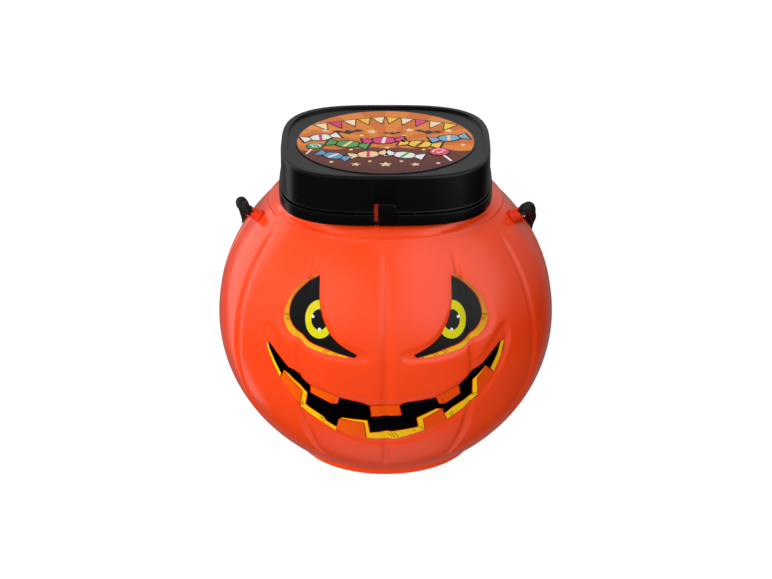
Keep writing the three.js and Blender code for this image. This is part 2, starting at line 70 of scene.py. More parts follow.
# Neck, collar and the beads that the lid presses over
SQUIRCLE_POWER = 3.2
SQUIRCLE_COLUMNS = 288
COLLAR_ELEVATION = 46.3
COLLAR_STEP = 1.9
COLLAR_ROUND = 1.3
NECK_WALL = 2.2
NECK_BEAD = 0.6
NECK_BEAD_DROP = 10.5
BORE_MIDDLE_Z = 172
LEDGE_WIDTH = 1.3
LEDGE_LIFT = 1.6
LEDGE_HEIGHT = 2

# Lid, tear band and pull tab
LID_HALF_WIDTH = 60.9
LID_HEIGHT = 29.3
LID_WALL = 1.8
LID_RIM_WIDTH = 3.9
LID_RIM_ROUND = 1.6
LID_PANEL_DROP = 1.5
LID_PANEL_THICKNESS = 2
SKIRT_LIP_WALL = 0.5
SKIRT_BEAD = 0.3
LIP_GAP = 0.1
LIP_OVERLAP = 0.5
TONGUE_WALL = 0.7
SEAL_DEPTH = 4.8
SEAL_WALL = 1.6
BAND_FLARE = 1.3
BAND_WALL = 1.6
BAND_HEIGHT = 6.7
BAND_LIFT = 7.5
BAND_LIP_HEIGHT = 1.2
GROOVE_HEIGHT = 1
BRIDGE_COUNT = 12
BRIDGE_WIDTH = 1.2
TAB_LEFT_X = -3.9
TAB_RIGHT_X = 6.4
TAB_HEIGHT = 14.1
TAB_NUB = 1.1
TAB_GAP = 0.2
SLOT_WIDTH = 2.6
STRAP_HEIGHT = 2
STRAP_LIFT = 0.6
CLEARANCE = 0.3
SLIDE_CLEARANCE = 0.5
BLACK_SHARP = 32
CUT_NEAR_HALF = 80
CUT_FAR_HALF = 50

# Heights and widths that follow from the ones above
COLLAR_RADIUS = BODY_RADIUS * math.cos(math.radians(COLLAR_ELEVATION))
COLLAR_FOOT_Z = BODY_CENTRE_Z + BODY_RADIUS * math.sin(math.radians(COLLAR_ELEVATION))
BAND_BOTTOM_Z = COLLAR_FOOT_Z + BAND_LIFT
BAND_TOP_Z = BAND_BOTTOM_Z + BAND_HEIGHT
BAND_MIDDLE_Z = BAND_BOTTOM_Z + BAND_HEIGHT / 2
BAND_HALF_WIDTH = LID_HALF_WIDTH + BAND_FLARE
BAND_INNER_HALF = BAND_HALF_WIDTH - BAND_WALL
COLLAR_TOP_Z = BAND_BOTTOM_Z - SLIDE_CLEARANCE
LEDGE_Z = COLLAR_TOP_Z + LEDGE_LIFT
LID_TOP_Z = BAND_BOTTOM_Z + LID_HEIGHT
LID_PANEL_Z = LID_TOP_Z - LID_PANEL_DROP
LID_UNDERSIDE_Z = LID_PANEL_Z - LID_PANEL_THICKNESS
LID_INNER_HALF = LID_HALF_WIDTH - LID_WALL
SKIRT_BOTTOM_Z = BAND_TOP_Z + GROOVE_HEIGHT
BAND_LIP_HALF = LID_INNER_HALF + CLEARANCE
TAB_TOP_Z = BAND_BOTTOM_Z + TAB_HEIGHT
NECK_TOP_Z = LID_UNDERSIDE_Z - CLEARANCE
NECK_HALF = LID_INNER_HALF - SLIDE_CLEARANCE - NECK_BEAD
NECK_BORE_HALF = NECK_HALF - NECK_WALL
NECK_BEAD_Z = NECK_TOP_Z - NECK_BEAD_DROP
SEAL_HALF = NECK_BORE_HALF - SLIDE_CLEARANCE

# Label and printed films
LABEL_RADIUS = 52.5
LABEL_EDGE = 0.9
LABEL_GAP = 0.15
LABEL_THICKNESS = 0.25
RECESS_DEPTH = 1
RECESS_EDGE = 3.4
RIB_ON_FLOOR = 0.7
FACE_HALF_ANGLE = 53
FACE_COLUMN = 0.52
RIB_COLUMN = 0.75
PLAIN_COLUMN = 3.4
FACE_FRONT = 55
FACE_RANGE = (30, 146)
LINE_WIDTH = 0.45
EDGE_WIDTH = 0.4
HATCH_WIDTH = 0.28
FILM_LIFT = 0.25
INK_STEP = 0.06
INK_THICKNESS = 0.1

# Rope handle and its plugs
ROPE_DIAMETER = 6.8
STRAND_ORBIT = 1.5
STRAND_COUNT = 3
ROPE_LAY = 17
ROPE_IN_CROWN = 2.5
CROWN_REACH = 1.9
CROWN_TAPER = 2.4
ROPE_END_ROUND = 1.2
ROPE_SECTIONS = 420
ROPE_SIDES = 42
SEAT_AZIMUTH = 79.8
SEAT_ELEVATION = 41.6
PLUG_AZIMUTH = 75
PLUG_ELEVATION = 30
PLUG_STEM_RADIUS = 2.5
PLUG_BARB_RADIUS = 3.3
PLUG_BARB_LENGTH = 3.2
PLUG_FLANGE_RADIUS = 3.9
PLUG_FLANGE_THICKNESS = 1.3
PLUG_BARREL_RADIUS = 3.5
PLUG_MOUTH_RADIUS = 3.1
PLUG_BORE_RADIUS = 2.7
PLUG_LENGTH = 6.9
PRONG_LENGTH = 1.6
PRONG_COUNT = 6
LONG_PRONG = 1.6
LONG_PRONG_SPREAD = 0.6

# Camera and the photograph's frame
IMAGE_WIDTH = 772
FOCAL_PIXELS = 2680
AXIS_PIXEL_X = 385.6
CAMERA_DISTANCE = 1600
CAMERA_ELEVATION = 23.58
TARGET_Z = 97.05


def camera_and_frame():
    """The camera stands at the photograph's distance and height and looks at the jar's middle."""
    data = bpy.data.cameras.new("photo_camera")
    data.sensor_width = 36
    data.lens = FOCAL_PIXELS / IMAGE_WIDTH * data.sensor_width
    data.shift_x = (IMAGE_WIDTH / 2 - AXIS_PIXEL_X) / IMAGE_WIDTH
    data.clip_start = 0.05
    camera = bpy.data.objects.new("photo_camera", data)
    bpy.context.scene.collection.objects.link(camera)
    rise = math.radians(CAMERA_ELEVATION)
    camera.location = (
        0,
        -CAMERA_DISTANCE * math.cos(rise) * MM,
        (TARGET_Z + CAMERA_DISTANCE * math.sin(rise)) * MM,
    )
    camera.rotation_euler = (math.pi / 2 - rise, 0, 0)
    bpy.context.scene.camera = camera


camera_and_frame()


# Meshes from arrays


def grid_quads(rows, columns, wrap_rows=False, wrap_columns=False, start=0):
    """Quads of a grid of points numbered row by row; a wrapped grid joins its last line to its first."""
    i = np.arange(rows if wrap_rows else rows - 1)
    j = np.arange(columns if wrap_columns else columns - 1)
    i, j = np.meshgrid(i, j, indexing="ij")
    i_next = (i + 1) % rows
    j_next = (j + 1) % columns
    corners = [i * columns + j, i * columns + j_next, i_next * columns + j_next, i_next * columns + j]
    return start + np.stack(corners, axis=-1).reshape(-1, 4)


def make_piece(name, shapes, materials, body, sharp=40, replaces=(), ride=True):
    """One object from shapes, each a tuple of points in millimetres, a list of face arrays and a finish
    number. It rides on a body and takes the place of the solids named in replaces."""
    points = np.concatenate([shape[0].reshape(-1, 3) for shape in shapes]) * MM
    corner_lists, totals, finish = [], [], []
    first = 0
    for shape in shapes:
        for faces in shape[1]:
            corner_lists.append((faces + first).ravel())
            totals.append(np.full(len(faces), faces.shape[1]))
            finish.append(np.full(len(faces), shape[2]))
        first += len(shape[0].reshape(-1, 3))
    corners = np.concatenate(corner_lists)
    totals = np.concatenate(totals)
    starts = np.concatenate([[0], np.cumsum(totals)[:-1]])
    mesh = bpy.data.meshes.new(name)
    mesh.vertices.add(len(points))
    mesh.vertices.foreach_set("co", points.ravel())
    mesh.loops.add(len(corners))
    mesh.loops.foreach_set("vertex_index", corners.astype(np.int32))
    mesh.polygons.add(len(totals))
    mesh.polygons.foreach_set("loop_start", starts.astype(np.int32))
    mesh.polygons.foreach_set("material_index", np.concatenate(finish).astype(np.int32))
    mesh.update(calc_edges=True)
    mesh.validate()
    for material in materials:
        mesh.materials.append(material)
    tidy_mesh(mesh, sharp)
    piece = bpy.data.objects.new(name, mesh)
    bpy.context.scene.collection.objects.link(piece)
    if ride:
        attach(piece, body)
    if replaces:
        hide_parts(*replaces)
    return piece


def tidy_mesh(mesh, sharp):
    """Closes seams and poles, turns the faces outwards and shades edges under the sharp angle smooth."""
    work = bmesh.new()
    work.from_mesh(mesh)
    bmesh.ops.remove_doubles(work, verts=work.verts, dist=2e-6)
    bmesh.ops.dissolve_degenerate(work, edges=work.edges, dist=1e-6)
    bmesh.ops.recalc_face_normals(work, faces=work.faces)
    work.to_mesh(mesh)
    work.free()
    mesh.polygons.foreach_set("use_smooth", np.ones(len(mesh.polygons), dtype=bool))
    mesh.set_sharp_from_angle(angle=math.radians(sharp))


def round_axis(reach, turn, z):
    """Points at a reach from the jar's axis, a turn in radians from the front, and a height."""
    return np.stack([reach * np.sin(turn), -reach * np.cos(turn), z], axis=-1)


def spaced(low, high, step_at):
    """Values from low to high whose neighbours are about step_at(value) apart."""
    fine = np.linspace(low, high, 8000)
    load = np.concatenate([[0], np.cumsum(np.diff(fine) / step_at(fine[:-1]))])
    return np.interp(np.linspace(0, load[-1], int(round(load[-1])) + 1), load, fine)


def smooth_step(value):
    """Rises from 0 to 1 with flat ends as value goes from 0 to 1."""
    t = np.clip(value, 0, 1)
    return t * t * (3 - 2 * t)


def smooth_curve(points, per_span=6):
    """A Catmull-Rom curve through the points: each span is the cubic whose slopes join its neighbours."""
    p = np.asarray(points, float)
    if len(p) < 3:
        return p
    before = np.vstack([2 * p[0] - p[1], p[:-1]])[:-1]
    after = np.vstack([p[2:], 2 * p[-1] - p[-2]])
    t = np.linspace(0, 1, per_span, endpoint=False)[None, :, None]
    a, b = p[:-1, None], p[1:, None]
    before, after = before[:, None], after[:, None]
    curve = 0.5 * (
        2 * a + (b - before) * t + (2 * before - 5 * a + 4 * b - after) * t**2
        + (3 * a - before - 3 * b + after) * t**3
    )
    return np.vstack([curve.reshape(-1, p.shape[1]), p[-1:]])


def flipped(points):
    """The same outline on the other side of the face."""
    return [(-x, z) for x, z in points]


# The pumpkin's surface


def body_radius(z, inset=0.0):
    """Radius at a height: a sphere above the widest level and a slightly squared ellipse below it, drawn in a
    little round the widest level."""
    radius = BODY_RADIUS - inset
    rise = z - BODY_CENTRE_Z
    trim = WAIST_TRIM * smooth_step(1 - np.abs(rise) / WAIST_REACH)
    upper = np.sqrt(np.clip(radius**2 - rise**2, 0, None))
    share = np.clip(-rise / (LOWER_DEPTH - inset), 0, 1)
    lower = radius * (1 - share**LOWER_POWER) ** (1 / LOWER_POWER)
    return np.where(rise >= 0, upper, lower) - trim


def squircle_reach(angle):
    """How far a squircle of half width 1 reaches at an angle, in degrees."""
    turn = np.radians(angle)
    total = np.abs(np.cos(turn)) ** SQUIRCLE_POWER + np.abs(np.sin(turn)) ** SQUIRCLE_POWER
    return total ** (-1 / SQUIRCLE_POWER)


def rib_depth(angle, z):
    """Depth of the ribs: a rounded groove at each pitch angle that fades out near the foot and the collar."""
    away = np.abs(angle - RIB_PITCH * np.round(angle / RIB_PITCH)) / RIB_HALF_ANGLE
    fade = np.minimum((z - RIB_BOTTOM_Z) / RIB_FADE, (RIB_TOP_Z - z) / RIB_FADE)
    return RIB_DEPTH * smooth_step(1 - away) * smooth_step(fade)


EYE_RECESS = [
    [
        (-36.8, 138.8), (-36.7, 133.4), (-36.4, 125), (-35.4, 120), (-32.1, 112.9), (-28.1, 107.2),
        (-22.4, 103.8), (-16.2, 101.9), (-11.7, 101),
    ],
    [
        (-11.7, 101), (-9.6, 99), (-10.5, 96.3), (-13.8, 94.9),
    ],
    [
        (-13.8, 94.9), (-18.6, 95), (-23.4, 95.3), (-30.7, 95.4), (-38.9, 96.8), (-45.4, 99.6),
        (-49.9, 102.3), (-55.7, 103.3), (-60.1, 106.7), (-61.5, 111.7), (-60.7, 117.9), (-58.6, 123.6),
        (-54.5, 129.6), (-49.5, 134.3), (-44.6, 137.3), (-40.5, 138.9), (-37.2, 139.3), (-36.8, 138.8),
    ],
]
MOUTH_RECESS_RIGHT = [
    [
        (0, 70.7), (13, 71.2), (25.2, 72.9), (35.8, 75.9), (44, 79.8), (48.9, 84), (49.6, 89.1),
        (55.4, 92.6), (59.5, 98.1), (63.7, 103.2), (66.2, 106.2),
    ],
    [
        (66.2, 106.2), (68.7, 106.2), (70.7, 100.4), (70.5, 94.8), (68.9, 87.7), (66.5, 81.6),
        (62.4, 74.8), (57.5, 68.8), (50.1, 63.1), (42.7, 55.6), (33.7, 48.8), (25.6, 44), (17.4, 40.1),
        (5, 37.5), (0, 37.1),
    ],
]


def closed_outline(stretches):
    """One closed outline from smooth stretches that meet in corners."""
    return np.vstack([smooth_curve(stretch)[:-1] for stretch in stretches])


def mirrored(stretches):
    """The stretches on the other side of the face, in an order that keeps the outline running on."""
    return [flipped(stretch)[::-1] for stretch in stretches][::-1]


def depth_inside(x, z, outline):
    """Distance to a closed outline, positive inside: that of the nearest edge, signed by a crossing count."""
    start = outline
    run = np.roll(outline, -1, axis=0) - start
    dx = x[:, None] - start[:, 0]
    dz = z[:, None] - start[:, 1]
    t = np.clip((dx * run[:, 0] + dz * run[:, 1]) / (run**2).sum(axis=1), 0, 1)
    nearest = np.hypot(dx - t * run[:, 0], dz - t * run[:, 1]).min(axis=1)
    above_start = dz >= 0
    above_end = z[:, None] - (start + run)[:, 1] >= 0
    side = run[:, 0] * dz - run[:, 1] * dx
    crossed = (above_start != above_end) & ((side < 0) == (run[:, 1] > 0))
    inside = crossed.sum(axis=1) % 2 == 1
    return np.where(inside, nearest, -nearest)


def recess_share(points):
    """How deep the face's recesses are at each front point, from 0 outside to 1 on the floor."""
    share = np.zeros(len(points))
    mouth = mirrored(MOUTH_RECESS_RIGHT) + MOUTH_RECESS_RIGHT
    low, high = FACE_RANGE
    front = np.flatnonzero((points[:, 1] < -FACE_FRONT) & (points[:, 2] > low) & (points[:, 2] < high))
    x, z = points[front, 0], points[front, 2]
    for stretches in (EYE_RECESS, mirrored(EYE_RECESS), mouth):
        away = depth_inside(x, z, closed_outline(stretches))
        share[front] = np.maximum(share[front], smooth_step(away / RECESS_EDGE + 0.5))
    return share


def surface_depth(points, angle, z):
    """How far the ribs and the recesses draw the surface in; the ribs run on, shallower, over the floors."""
    share = recess_share(points.reshape(-1, 3)).reshape(z.shape)
    return rib_depth(angle, z) * (1 - (1 - RIB_ON_FLOOR) * share) + RECESS_DEPTH * share


def on_face(x, z, lift):
    """Points that a front view shows at x and z, lifted off the jar's surface. The surface's depth depends on
    the point's angle, so it is found in three rounds."""
    plain = body_radius(z)
    radius = plain
    for _ in range(3):
        turn = np.arcsin(np.clip(x / radius, -1, 1))
        radius = plain - surface_depth(round_axis(plain, turn, z), np.degrees(turn), z) + lift
    y = -np.sqrt(np.clip(radius**2 - x**2, 0, None))
    return np.stack([x, y, z], axis=-1)


def shell_rows():
    """The jar's meridian from the middle of the underside, up the outside and back down the inside."""
    foot_top = FOOT_HEIGHT + 0.6
    inner_foot = FOOT_RADIUS - FOOT_WIDTH
    under = [
        (0, BASE_PUSH_UP, 0), (18, BASE_PUSH_UP, 0), (34, BASE_PUSH_UP, 0),
        (inner_foot - BASE_PUSH_UP - 1, BASE_PUSH_UP, 0), (inner_foot - BASE_PUSH_UP, BASE_PUSH_UP - 0.3, 0),
        (inner_foot - 0.4, 0.5, 0), (inner_foot + 0.4, 0, 0), (FOOT_RADIUS - 1, 0, 0),
        (FOOT_RADIUS - 0.3, 0.25, 0), (FOOT_RADIUS, 0.9, 0), (FOOT_RADIUS, FOOT_HEIGHT - 1.2, 0),
        (FOOT_RADIUS + 0.4, FOOT_HEIGHT - 0.4, 0), (FOOT_RADIUS + 1.6, FOOT_HEIGHT, 0),
    ]
    low = math.degrees(math.asin((foot_top - BODY_CENTRE_Z) / LOWER_DEPTH))
    crease = COLLAR_RADIUS + 1.4
    high = math.degrees(math.acos(crease / BODY_RADIUS))
    turns = spaced(low, high, lambda t: np.where((t > -31) & (t < 37), 0.5, 1.3))
    reach = np.where(turns < 0, LOWER_DEPTH, BODY_RADIUS)
    z = BODY_CENTRE_Z + reach * np.sin(np.radians(turns))
    outside = np.stack([body_radius(z), z, np.zeros(len(z))], axis=1)
    foot_z = COLLAR_FOOT_Z
    step_z = foot_z + COLLAR_STEP
    cone = NECK_HALF + LEDGE_WIDTH
    collar_top = COLLAR_TOP_Z
    ledge_top = LEDGE_Z + LEDGE_HEIGHT
    collar = [
        (COLLAR_RADIUS + 0.5, foot_z - 0.45, 0), (COLLAR_RADIUS + 0.1, foot_z - 0.1, 0),
        (COLLAR_RADIUS, foot_z + 0.3, 0), (COLLAR_RADIUS - 0.15, step_z - 1.0, 0),
        (COLLAR_RADIUS - 0.5, step_z - 0.45, 0), (COLLAR_RADIUS - COLLAR_ROUND, step_z, 0),
        (COLLAR_RADIUS - COLLAR_ROUND - 1.2, step_z + 0.5, 0.08),
    ]
    for share in (0.3, 0.5, 0.7, 0.85, 0.95):
        radius = (COLLAR_RADIUS - COLLAR_ROUND) * (1 - share) + cone * share
        collar.append((radius, step_z * (1 - share) + collar_top * share, share))
    neck = [
        (NECK_HALF + 0.5, collar_top, 1), (NECK_HALF, collar_top + 0.5, 1), (NECK_HALF, LEDGE_Z - 0.1, 1),
        (cone - 0.2, LEDGE_Z, 1), (cone, LEDGE_Z + 0.2, 1), (cone, ledge_top - 0.2, 1),
        (cone - 0.2, ledge_top, 1), (NECK_HALF, ledge_top + 0.1, 1), (NECK_HALF, NECK_BEAD_Z - 1.6, 1),
        (NECK_HALF + 0.8 * NECK_BEAD, NECK_BEAD_Z - 0.6, 1), (NECK_HALF + NECK_BEAD, NECK_BEAD_Z, 1),
        (NECK_HALF + 0.8 * NECK_BEAD, NECK_BEAD_Z + 0.6, 1), (NECK_HALF, NECK_BEAD_Z + 1.6, 1),
        (NECK_HALF, NECK_TOP_Z - 0.6, 1), (NECK_HALF - 0.5, NECK_TOP_Z, 1),
        (NECK_BORE_HALF + 0.4, NECK_TOP_Z, 1), (NECK_BORE_HALF, NECK_TOP_Z - 0.4, 1),
        (NECK_BORE_HALF, BORE_MIDDLE_Z, 1), (NECK_BORE_HALF, foot_z + 1, 1),
        (NECK_BORE_HALF + 0.4, foot_z + 0.2, 0.95),
    ]
    floor_z = BASE_PUSH_UP + BODY_WALL
    top_turn = math.asin((foot_z - 1.5 - BODY_CENTRE_Z) / (BODY_RADIUS - BODY_WALL))
    bottom_turn = math.asin((floor_z + 1 - BODY_CENTRE_Z) / (LOWER_DEPTH - BODY_WALL))
    back = np.degrees(np.linspace(top_turn, bottom_turn, 30))
    reach = np.where(back < 0, LOWER_DEPTH, BODY_RADIUS) - BODY_WALL
    z = BODY_CENTRE_Z + reach * np.sin(np.radians(back))
    inside = np.stack([body_radius(z, BODY_WALL), z, np.zeros(len(z))], axis=1)
    floor_radius = inside[-1, 0]
    floor = [(floor_radius - 3, floor_z, 0), (floor_radius * 0.6, floor_z, 0), (0, floor_z, 0)]
    outer_count = len(under) + len(outside)
    return np.vstack([under, outside, collar, neck, inside, floor]), outer_count


def jar_shell(materials):
    """The whole jar as one surface: the meridian is turned round the axis, and at each point the radius is
    the round one or the squircle's, blended by the row's third number, less the rib and the face's recess."""

    def column_step(angle):
        rib = np.abs(angle - RIB_PITCH * np.round(angle / RIB_PITCH)) < RIB_HALF_ANGLE + 1.5
        return np.where(np.abs(angle) < FACE_HALF_ANGLE, FACE_COLUMN, np.where(rib, RIB_COLUMN, PLAIN_COLUMN))

    angles = spaced(-180, 180, column_step)[:-1]
    rows, outer_count = shell_rows()
    radius, z, squared = (rows[:, k, None] for k in range(3))
    spread = radius * (1 + squared * (squircle_reach(angles)[None, :] - 1))
    height = np.broadcast_to(z, spread.shape)
    turn = np.radians(np.broadcast_to(angles[None, :], spread.shape))
    outer = np.zeros(spread.shape)
    outer[:outer_count] = 1
    spread = spread - surface_depth(round_axis(spread, turn, height), angles[None, :], height) * outer
    points = round_axis(spread, turn, height)
    quads = grid_quads(len(rows), len(angles), wrap_columns=True)
    make_piece("pumpkin_jar", [(points, [quads], 0)], materials, "jar", 50, ["jar_body"])


# Finishes


def feed(node, inputs):
    """Gives a node's inputs, by name or number, a value or a link from another node's output."""
    for key, value in inputs.items():
        if isinstance(value, bpy.types.NodeSocket):
            node.id_data.links.new(value, node.inputs[key])
        else:
            node.inputs[key].default_value = value


def add_node(tree, kind, inputs, **settings):
    """A new node with its settings and inputs."""
    node = tree.nodes.new("ShaderNode" + kind)
    for key, value in settings.items():
        setattr(node, key, value)
    feed(node, inputs)
    return node


def new_finish(name):
    """A new material with its node tree and its shader."""
    material = bpy.data.materials.new(name)
    material.use_nodes = True
    return material, material.node_tree, material.node_tree.nodes["Principled BSDF"]


def own_place(tree):
    """The object's own coordinates."""
    return add_node(tree, "TexCoord", {}).outputs["Object"]


def noise(tree, place, scale, detail=2.0):
    """Noise of a scale in the given coordinates."""
    return add_node(tree, "TexNoise", {"Vector": place, "Scale": scale, "Detail": detail}).outputs["Fac"]


def tone_ramp(tree, factor, stops):
    """The colour that a ramp of (position, colour) stops gives for a factor."""
    node = add_node(tree, "ValToRGB", {"Fac": factor})
    ends = node.color_ramp.elements
    while len(ends) < len(stops):
        ends.new(0.5)
    for element, (position, color) in zip(ends, stops):
        element.position = position
        element.color = (*color, 1)
    return node.outputs["Color"]


def relief(tree, shader, height, strength, distance):
    """A fine relief on a finish, its depth in metres."""
    bump = add_node(tree, "Bump", {"Strength": strength, "Distance": distance, "Height": height})
    feed(shader, {"Normal": bump.outputs["Normal"]})


def grey(level):
    """A grey of this level."""
    return (level, level, level)


def moulded_plastic(name, deep, light, roughness, coat=0.0, grain=900.0, subsurface=0.0):
    """Moulded plastic: a slow drift between two close colours, a slightly uneven gloss and a fine grain."""
    material, tree, shader = new_finish(name)
    place = own_place(tree)
    tone = tone_ramp(tree, noise(tree, place, 14.0, 3.0), [(0.35, deep), (0.65, light)])
    uneven = {"Value": noise(tree, place, 60.0, 4.0), "To Min": roughness * 0.88, "To Max": roughness * 1.12}
    gloss = add_node(tree, "MapRange", uneven).outputs["Result"]
    relief(tree, shader, noise(tree, place, grain), 0.05, 0.0002)
    feed(shader, {"Base Color": tone, "Roughness": gloss, "Coat Weight": coat, "Coat Roughness": 0.12})
    if subsurface:
        spread = {"Subsurface Weight": subsurface, "Subsurface Radius": (0.012, 0.004, 0.002)}
        feed(shader, {**spread, "Subsurface Scale": 1.0})
    return material


def printed_ink(name, first, second, axis="Z", low=0.0, high=0.2, roughness=0.3, gloss=0.35):
    """Gloss ink that shades from one colour to another along an axis, with a faint print grain."""
    material, tree, shader = new_finish(name)
    place = own_place(tree)
    parts = add_node(tree, "SeparateXYZ", {"Vector": place})
    along = add_node(tree, "MapRange", {"Value": parts.outputs[axis], "From Min": low, "From Max": high})
    grain = noise(tree, place, 700.0)
    shade = add_node(tree, "Math", {0: grain, 1: 0.12, 2: along.outputs["Result"]}, operation="MULTIPLY_ADD")
    tone = tone_ramp(tree, shade.outputs["Value"], [(0.06, first), (1.0, second)])
    relief(tree, shader, grain, 0.04, 0.0001)
    feed(shader, {"Base Color": tone, "Roughness": roughness, "Specular IOR Level": gloss})
    return material


ORANGE = moulded_plastic(
    "orange_gloss_plastic", (0.95, 0.054, 0.004), (0.98, 0.061, 0.005), 0.22, coat=0.6, subsurface=0.12
)
PLUG_ORANGE = moulded_plastic("plug_orange_plastic", (0.9, 0.036, 0.004), (0.95, 0.045, 0.006), 0.35)
BLACK = moulded_plastic("black_satin_plastic", grey(0.0012), grey(0.0022), 0.28, grain=1400.0)

jar_shell([ORANGE])


# Printed face


def film_on_face(flat, lift):
    """The two faces of a film of the printed face: front-view points laid on the jar's surface."""
    top = FILM_LIFT + lift * INK_STEP
    return [on_face(flat[..., 0], flat[..., 1], top - under) for under in (0, INK_THICKNESS)]


def film_on_lid(flat, lift):
    """The two faces of a film of the lid's label: plan-view points laid level above the panel."""
    top = LID_PANEL_Z + LABEL_GAP + LABEL_THICKNESS + lift * INK_STEP
    level = np.full((*flat.shape[:-1], 1), top)
    return [np.concatenate([flat, level - under], axis=-1) for under in (0, INK_THICKNESS)]


def between(first, second, lift, place=film_on_face, spacing=1.2):
    """A thin film between two curves: points run straight across from one curve to the other, and place gives
    the film's two faces from them."""
    first, second = np.asarray(first, float), np.asarray(second, float)

    def measure(curve):
        run = np.concatenate([[0], np.cumsum(np.hypot(*np.diff(curve, axis=0).T))])
        return run / run[-1], run[-1]

    t_first, length_first = measure(first)
    t_second, length_second = measure(second)
    even = np.linspace(0, 1, int(max(length_first, length_second) / spacing) + 2)
    t = np.unique(np.round(np.concatenate([even, t_first, t_second]), 5))
    a = np.stack([np.interp(t, t_first, first[:, k]) for k in (0, 1)], axis=-1)
    b = np.stack([np.interp(t, t_second, second[:, k]) for k in (0, 1)], axis=-1)
    steps = int(np.hypot(*(a - b).T).max() / spacing) + 2
    across = np.linspace(0, 1, steps)[:, None, None]
    flat = a[None] * (1 - across) + b[None] * across
    return slab(*place(flat, lift))


def slab(top, bottom):
    """A closed thin body between two grids of points of the same size."""
    rows, columns = top.shape[:2]
    count = rows * columns
    number = np.arange(count).reshape(rows, columns)
    loop = np.concatenate([number[0, :-1], number[:-1, -1], number[-1, :0:-1], number[:0:-1, 0]])
    ahead = np.roll(loop, -1)
    sides = np.stack([loop, ahead, ahead + count, loop + count], axis=-1)
    quads = [grid_quads(rows, columns), grid_quads(rows, columns, start=count)[:, ::-1], sides]
    return np.concatenate([top.reshape(-1, 3), bottom.reshape(-1, 3)]), quads


EYE_INNER = [
    (-37.3, 138.2), (-37.3, 134.4), (-37.4, 131.6), (-37.4, 126.7), (-36.9, 122.5), (-35.7, 117.5),
    (-33.8, 113.3), (-31.4, 109), (-28.1, 105.5), (-24.1, 102.6), (-20.1, 100.6), (-16.1, 98.7),
]
EYE_OUTER = [
    (-37.3, 138.2), (-41.1, 135.6), (-44.9, 132.9), (-48.9, 129), (-52, 124.8), (-53.7, 120.7),
    (-54.5, 116.7), (-54.2, 113.6), (-53, 110.8), (-50.4, 108), (-46.5, 105.6), (-42.9, 103),
    (-39.1, 101.7), (-34.3, 100.7), (-28.2, 99), (-22.5, 97.8), (-17.6, 96.9),
]
LID_EDGE_OUTER = [
    (-38.8, 138.2), (-42.4, 136.3), (-46.4, 133.4), (-50.4, 129.7), (-53.2, 126), (-55.4, 122),
    (-57, 117.7), (-57.9, 113.7), (-57.5, 110.5), (-55.9, 107.1), (-53, 104.6), (-48.8, 103.3),
    (-46.1, 101.2), (-42.8, 99.4), (-38.8, 98.4), (-33.1, 97.5), (-27.4, 97), (-21.7, 96.6),
]
LID_EDGE_INNER = [
    (-38, 138), (-41.4, 135.8), (-45.5, 132.9), (-49.4, 129.1), (-52.4, 124.9), (-54.1, 120.7),
    (-54.9, 116.7), (-54.6, 113.5), (-53.5, 110.6), (-50.8, 107.6), (-47, 105.1), (-43.3, 102.5),
    (-39.3, 101.2), (-34.5, 100), (-28.5, 98.6), (-21.7, 97.3),
]
IRIS_CENTRE = (-37.3, 116)
IRIS_HALF = (8.2, 10.3)
PUPIL_HALF = (4.3, 5.2)
IRIS_OUTLINE = 0.75
IRIS_LEAN = 0.167
GLINTS = [(-41.1, 117.2), (-37.3, 110.9)]
GLINT_RADIUS = 0.85
EYE_HATCHES = [
    ((-43.2, 136.2), (-40.8, 135.5)), ((-42.7, 136.9), (-40, 136.2)), ((-44, 135.6), (-41.8, 135)),
    ((-57.8, 114.7), (-54.5, 115.4)), ((-57.6, 114), (-54.5, 114.8)), ((-57, 112.7), (-54.1, 113.3)),
    ((-56.5, 112.1), (-54.6, 112.1)),
    ((-35.5, 98.5), (-33, 100)), ((-34.3, 98), (-32.1, 99.4)), ((-30.2, 97.7), (-28.2, 98.5)),
    ((-28.6, 97.2), (-26.7, 98)),
]


def eyeball(half, lift, grow=0.0):
    """The part of a leaning ellipse that the eye's inner edge leaves: each level runs from the ellipse's
    outer side to its inner side or to the inner edge, whichever comes first."""
    inner = smooth_curve(EYE_INNER)
    lean = inner[:, 1] - IRIS_LEAN * (inner[:, 0] - IRIS_CENTRE[0])
    order = np.argsort(lean)
    turn = np.linspace(0, np.pi, 33)
    level = IRIS_CENTRE[1] - (half[1] + grow) * np.cos(turn)
    width = (half[0] + grow) * np.sin(turn)
    left = IRIS_CENTRE[0] - width
    edge = np.interp(level, lean[order], inner[order, 0])
    right = np.maximum(np.minimum(IRIS_CENTRE[0] + width, edge), left)
    keep = edge > left

    def upright(x):
        return np.stack([x, level + IRIS_LEAN * (x - IRIS_CENTRE[0])], axis=-1)[keep]

    return upright(left), upright(right), lift


def disc_film(centre, radius, lift):
    """A small round film, as two half circles."""
    turn = np.linspace(0, np.pi, 13)
    ring = [
        np.stack([centre[0] + side * radius * np.sin(turn), centre[1] - radius * np.cos(turn)], axis=-1)
        for side in (-1, 1)
    ]
    return ring[0], ring[1], lift


def stroke(start, end, width, lift):
    """A straight printed line of a given width."""
    start, end = np.asarray(start, float), np.asarray(end, float)
    run = (end - start) / np.hypot(*(end - start))
    side = np.array([-run[1], run[0]]) * width / 2
    return np.array([start - side, end - side]), np.array([start + side, end + side]), lift


def film_piece(name, films, body, node, place=film_on_face, mirror=False):
    """One printed film from its areas, each two curves, a lift and an ink, mirrored to the other side of the
    face if asked."""
    inks = list(dict.fromkeys(ink for *_, ink in films))
    sides = np.array([-1 if mirror else 1, 1, 1])
    shapes = []
    for first, second, lift, ink in films:
        points, quads = between(first, second, lift, place)
        shapes.append((points * sides, quads, inks.index(ink)))
    make_piece(name, shapes, inks, body, 30, [node])


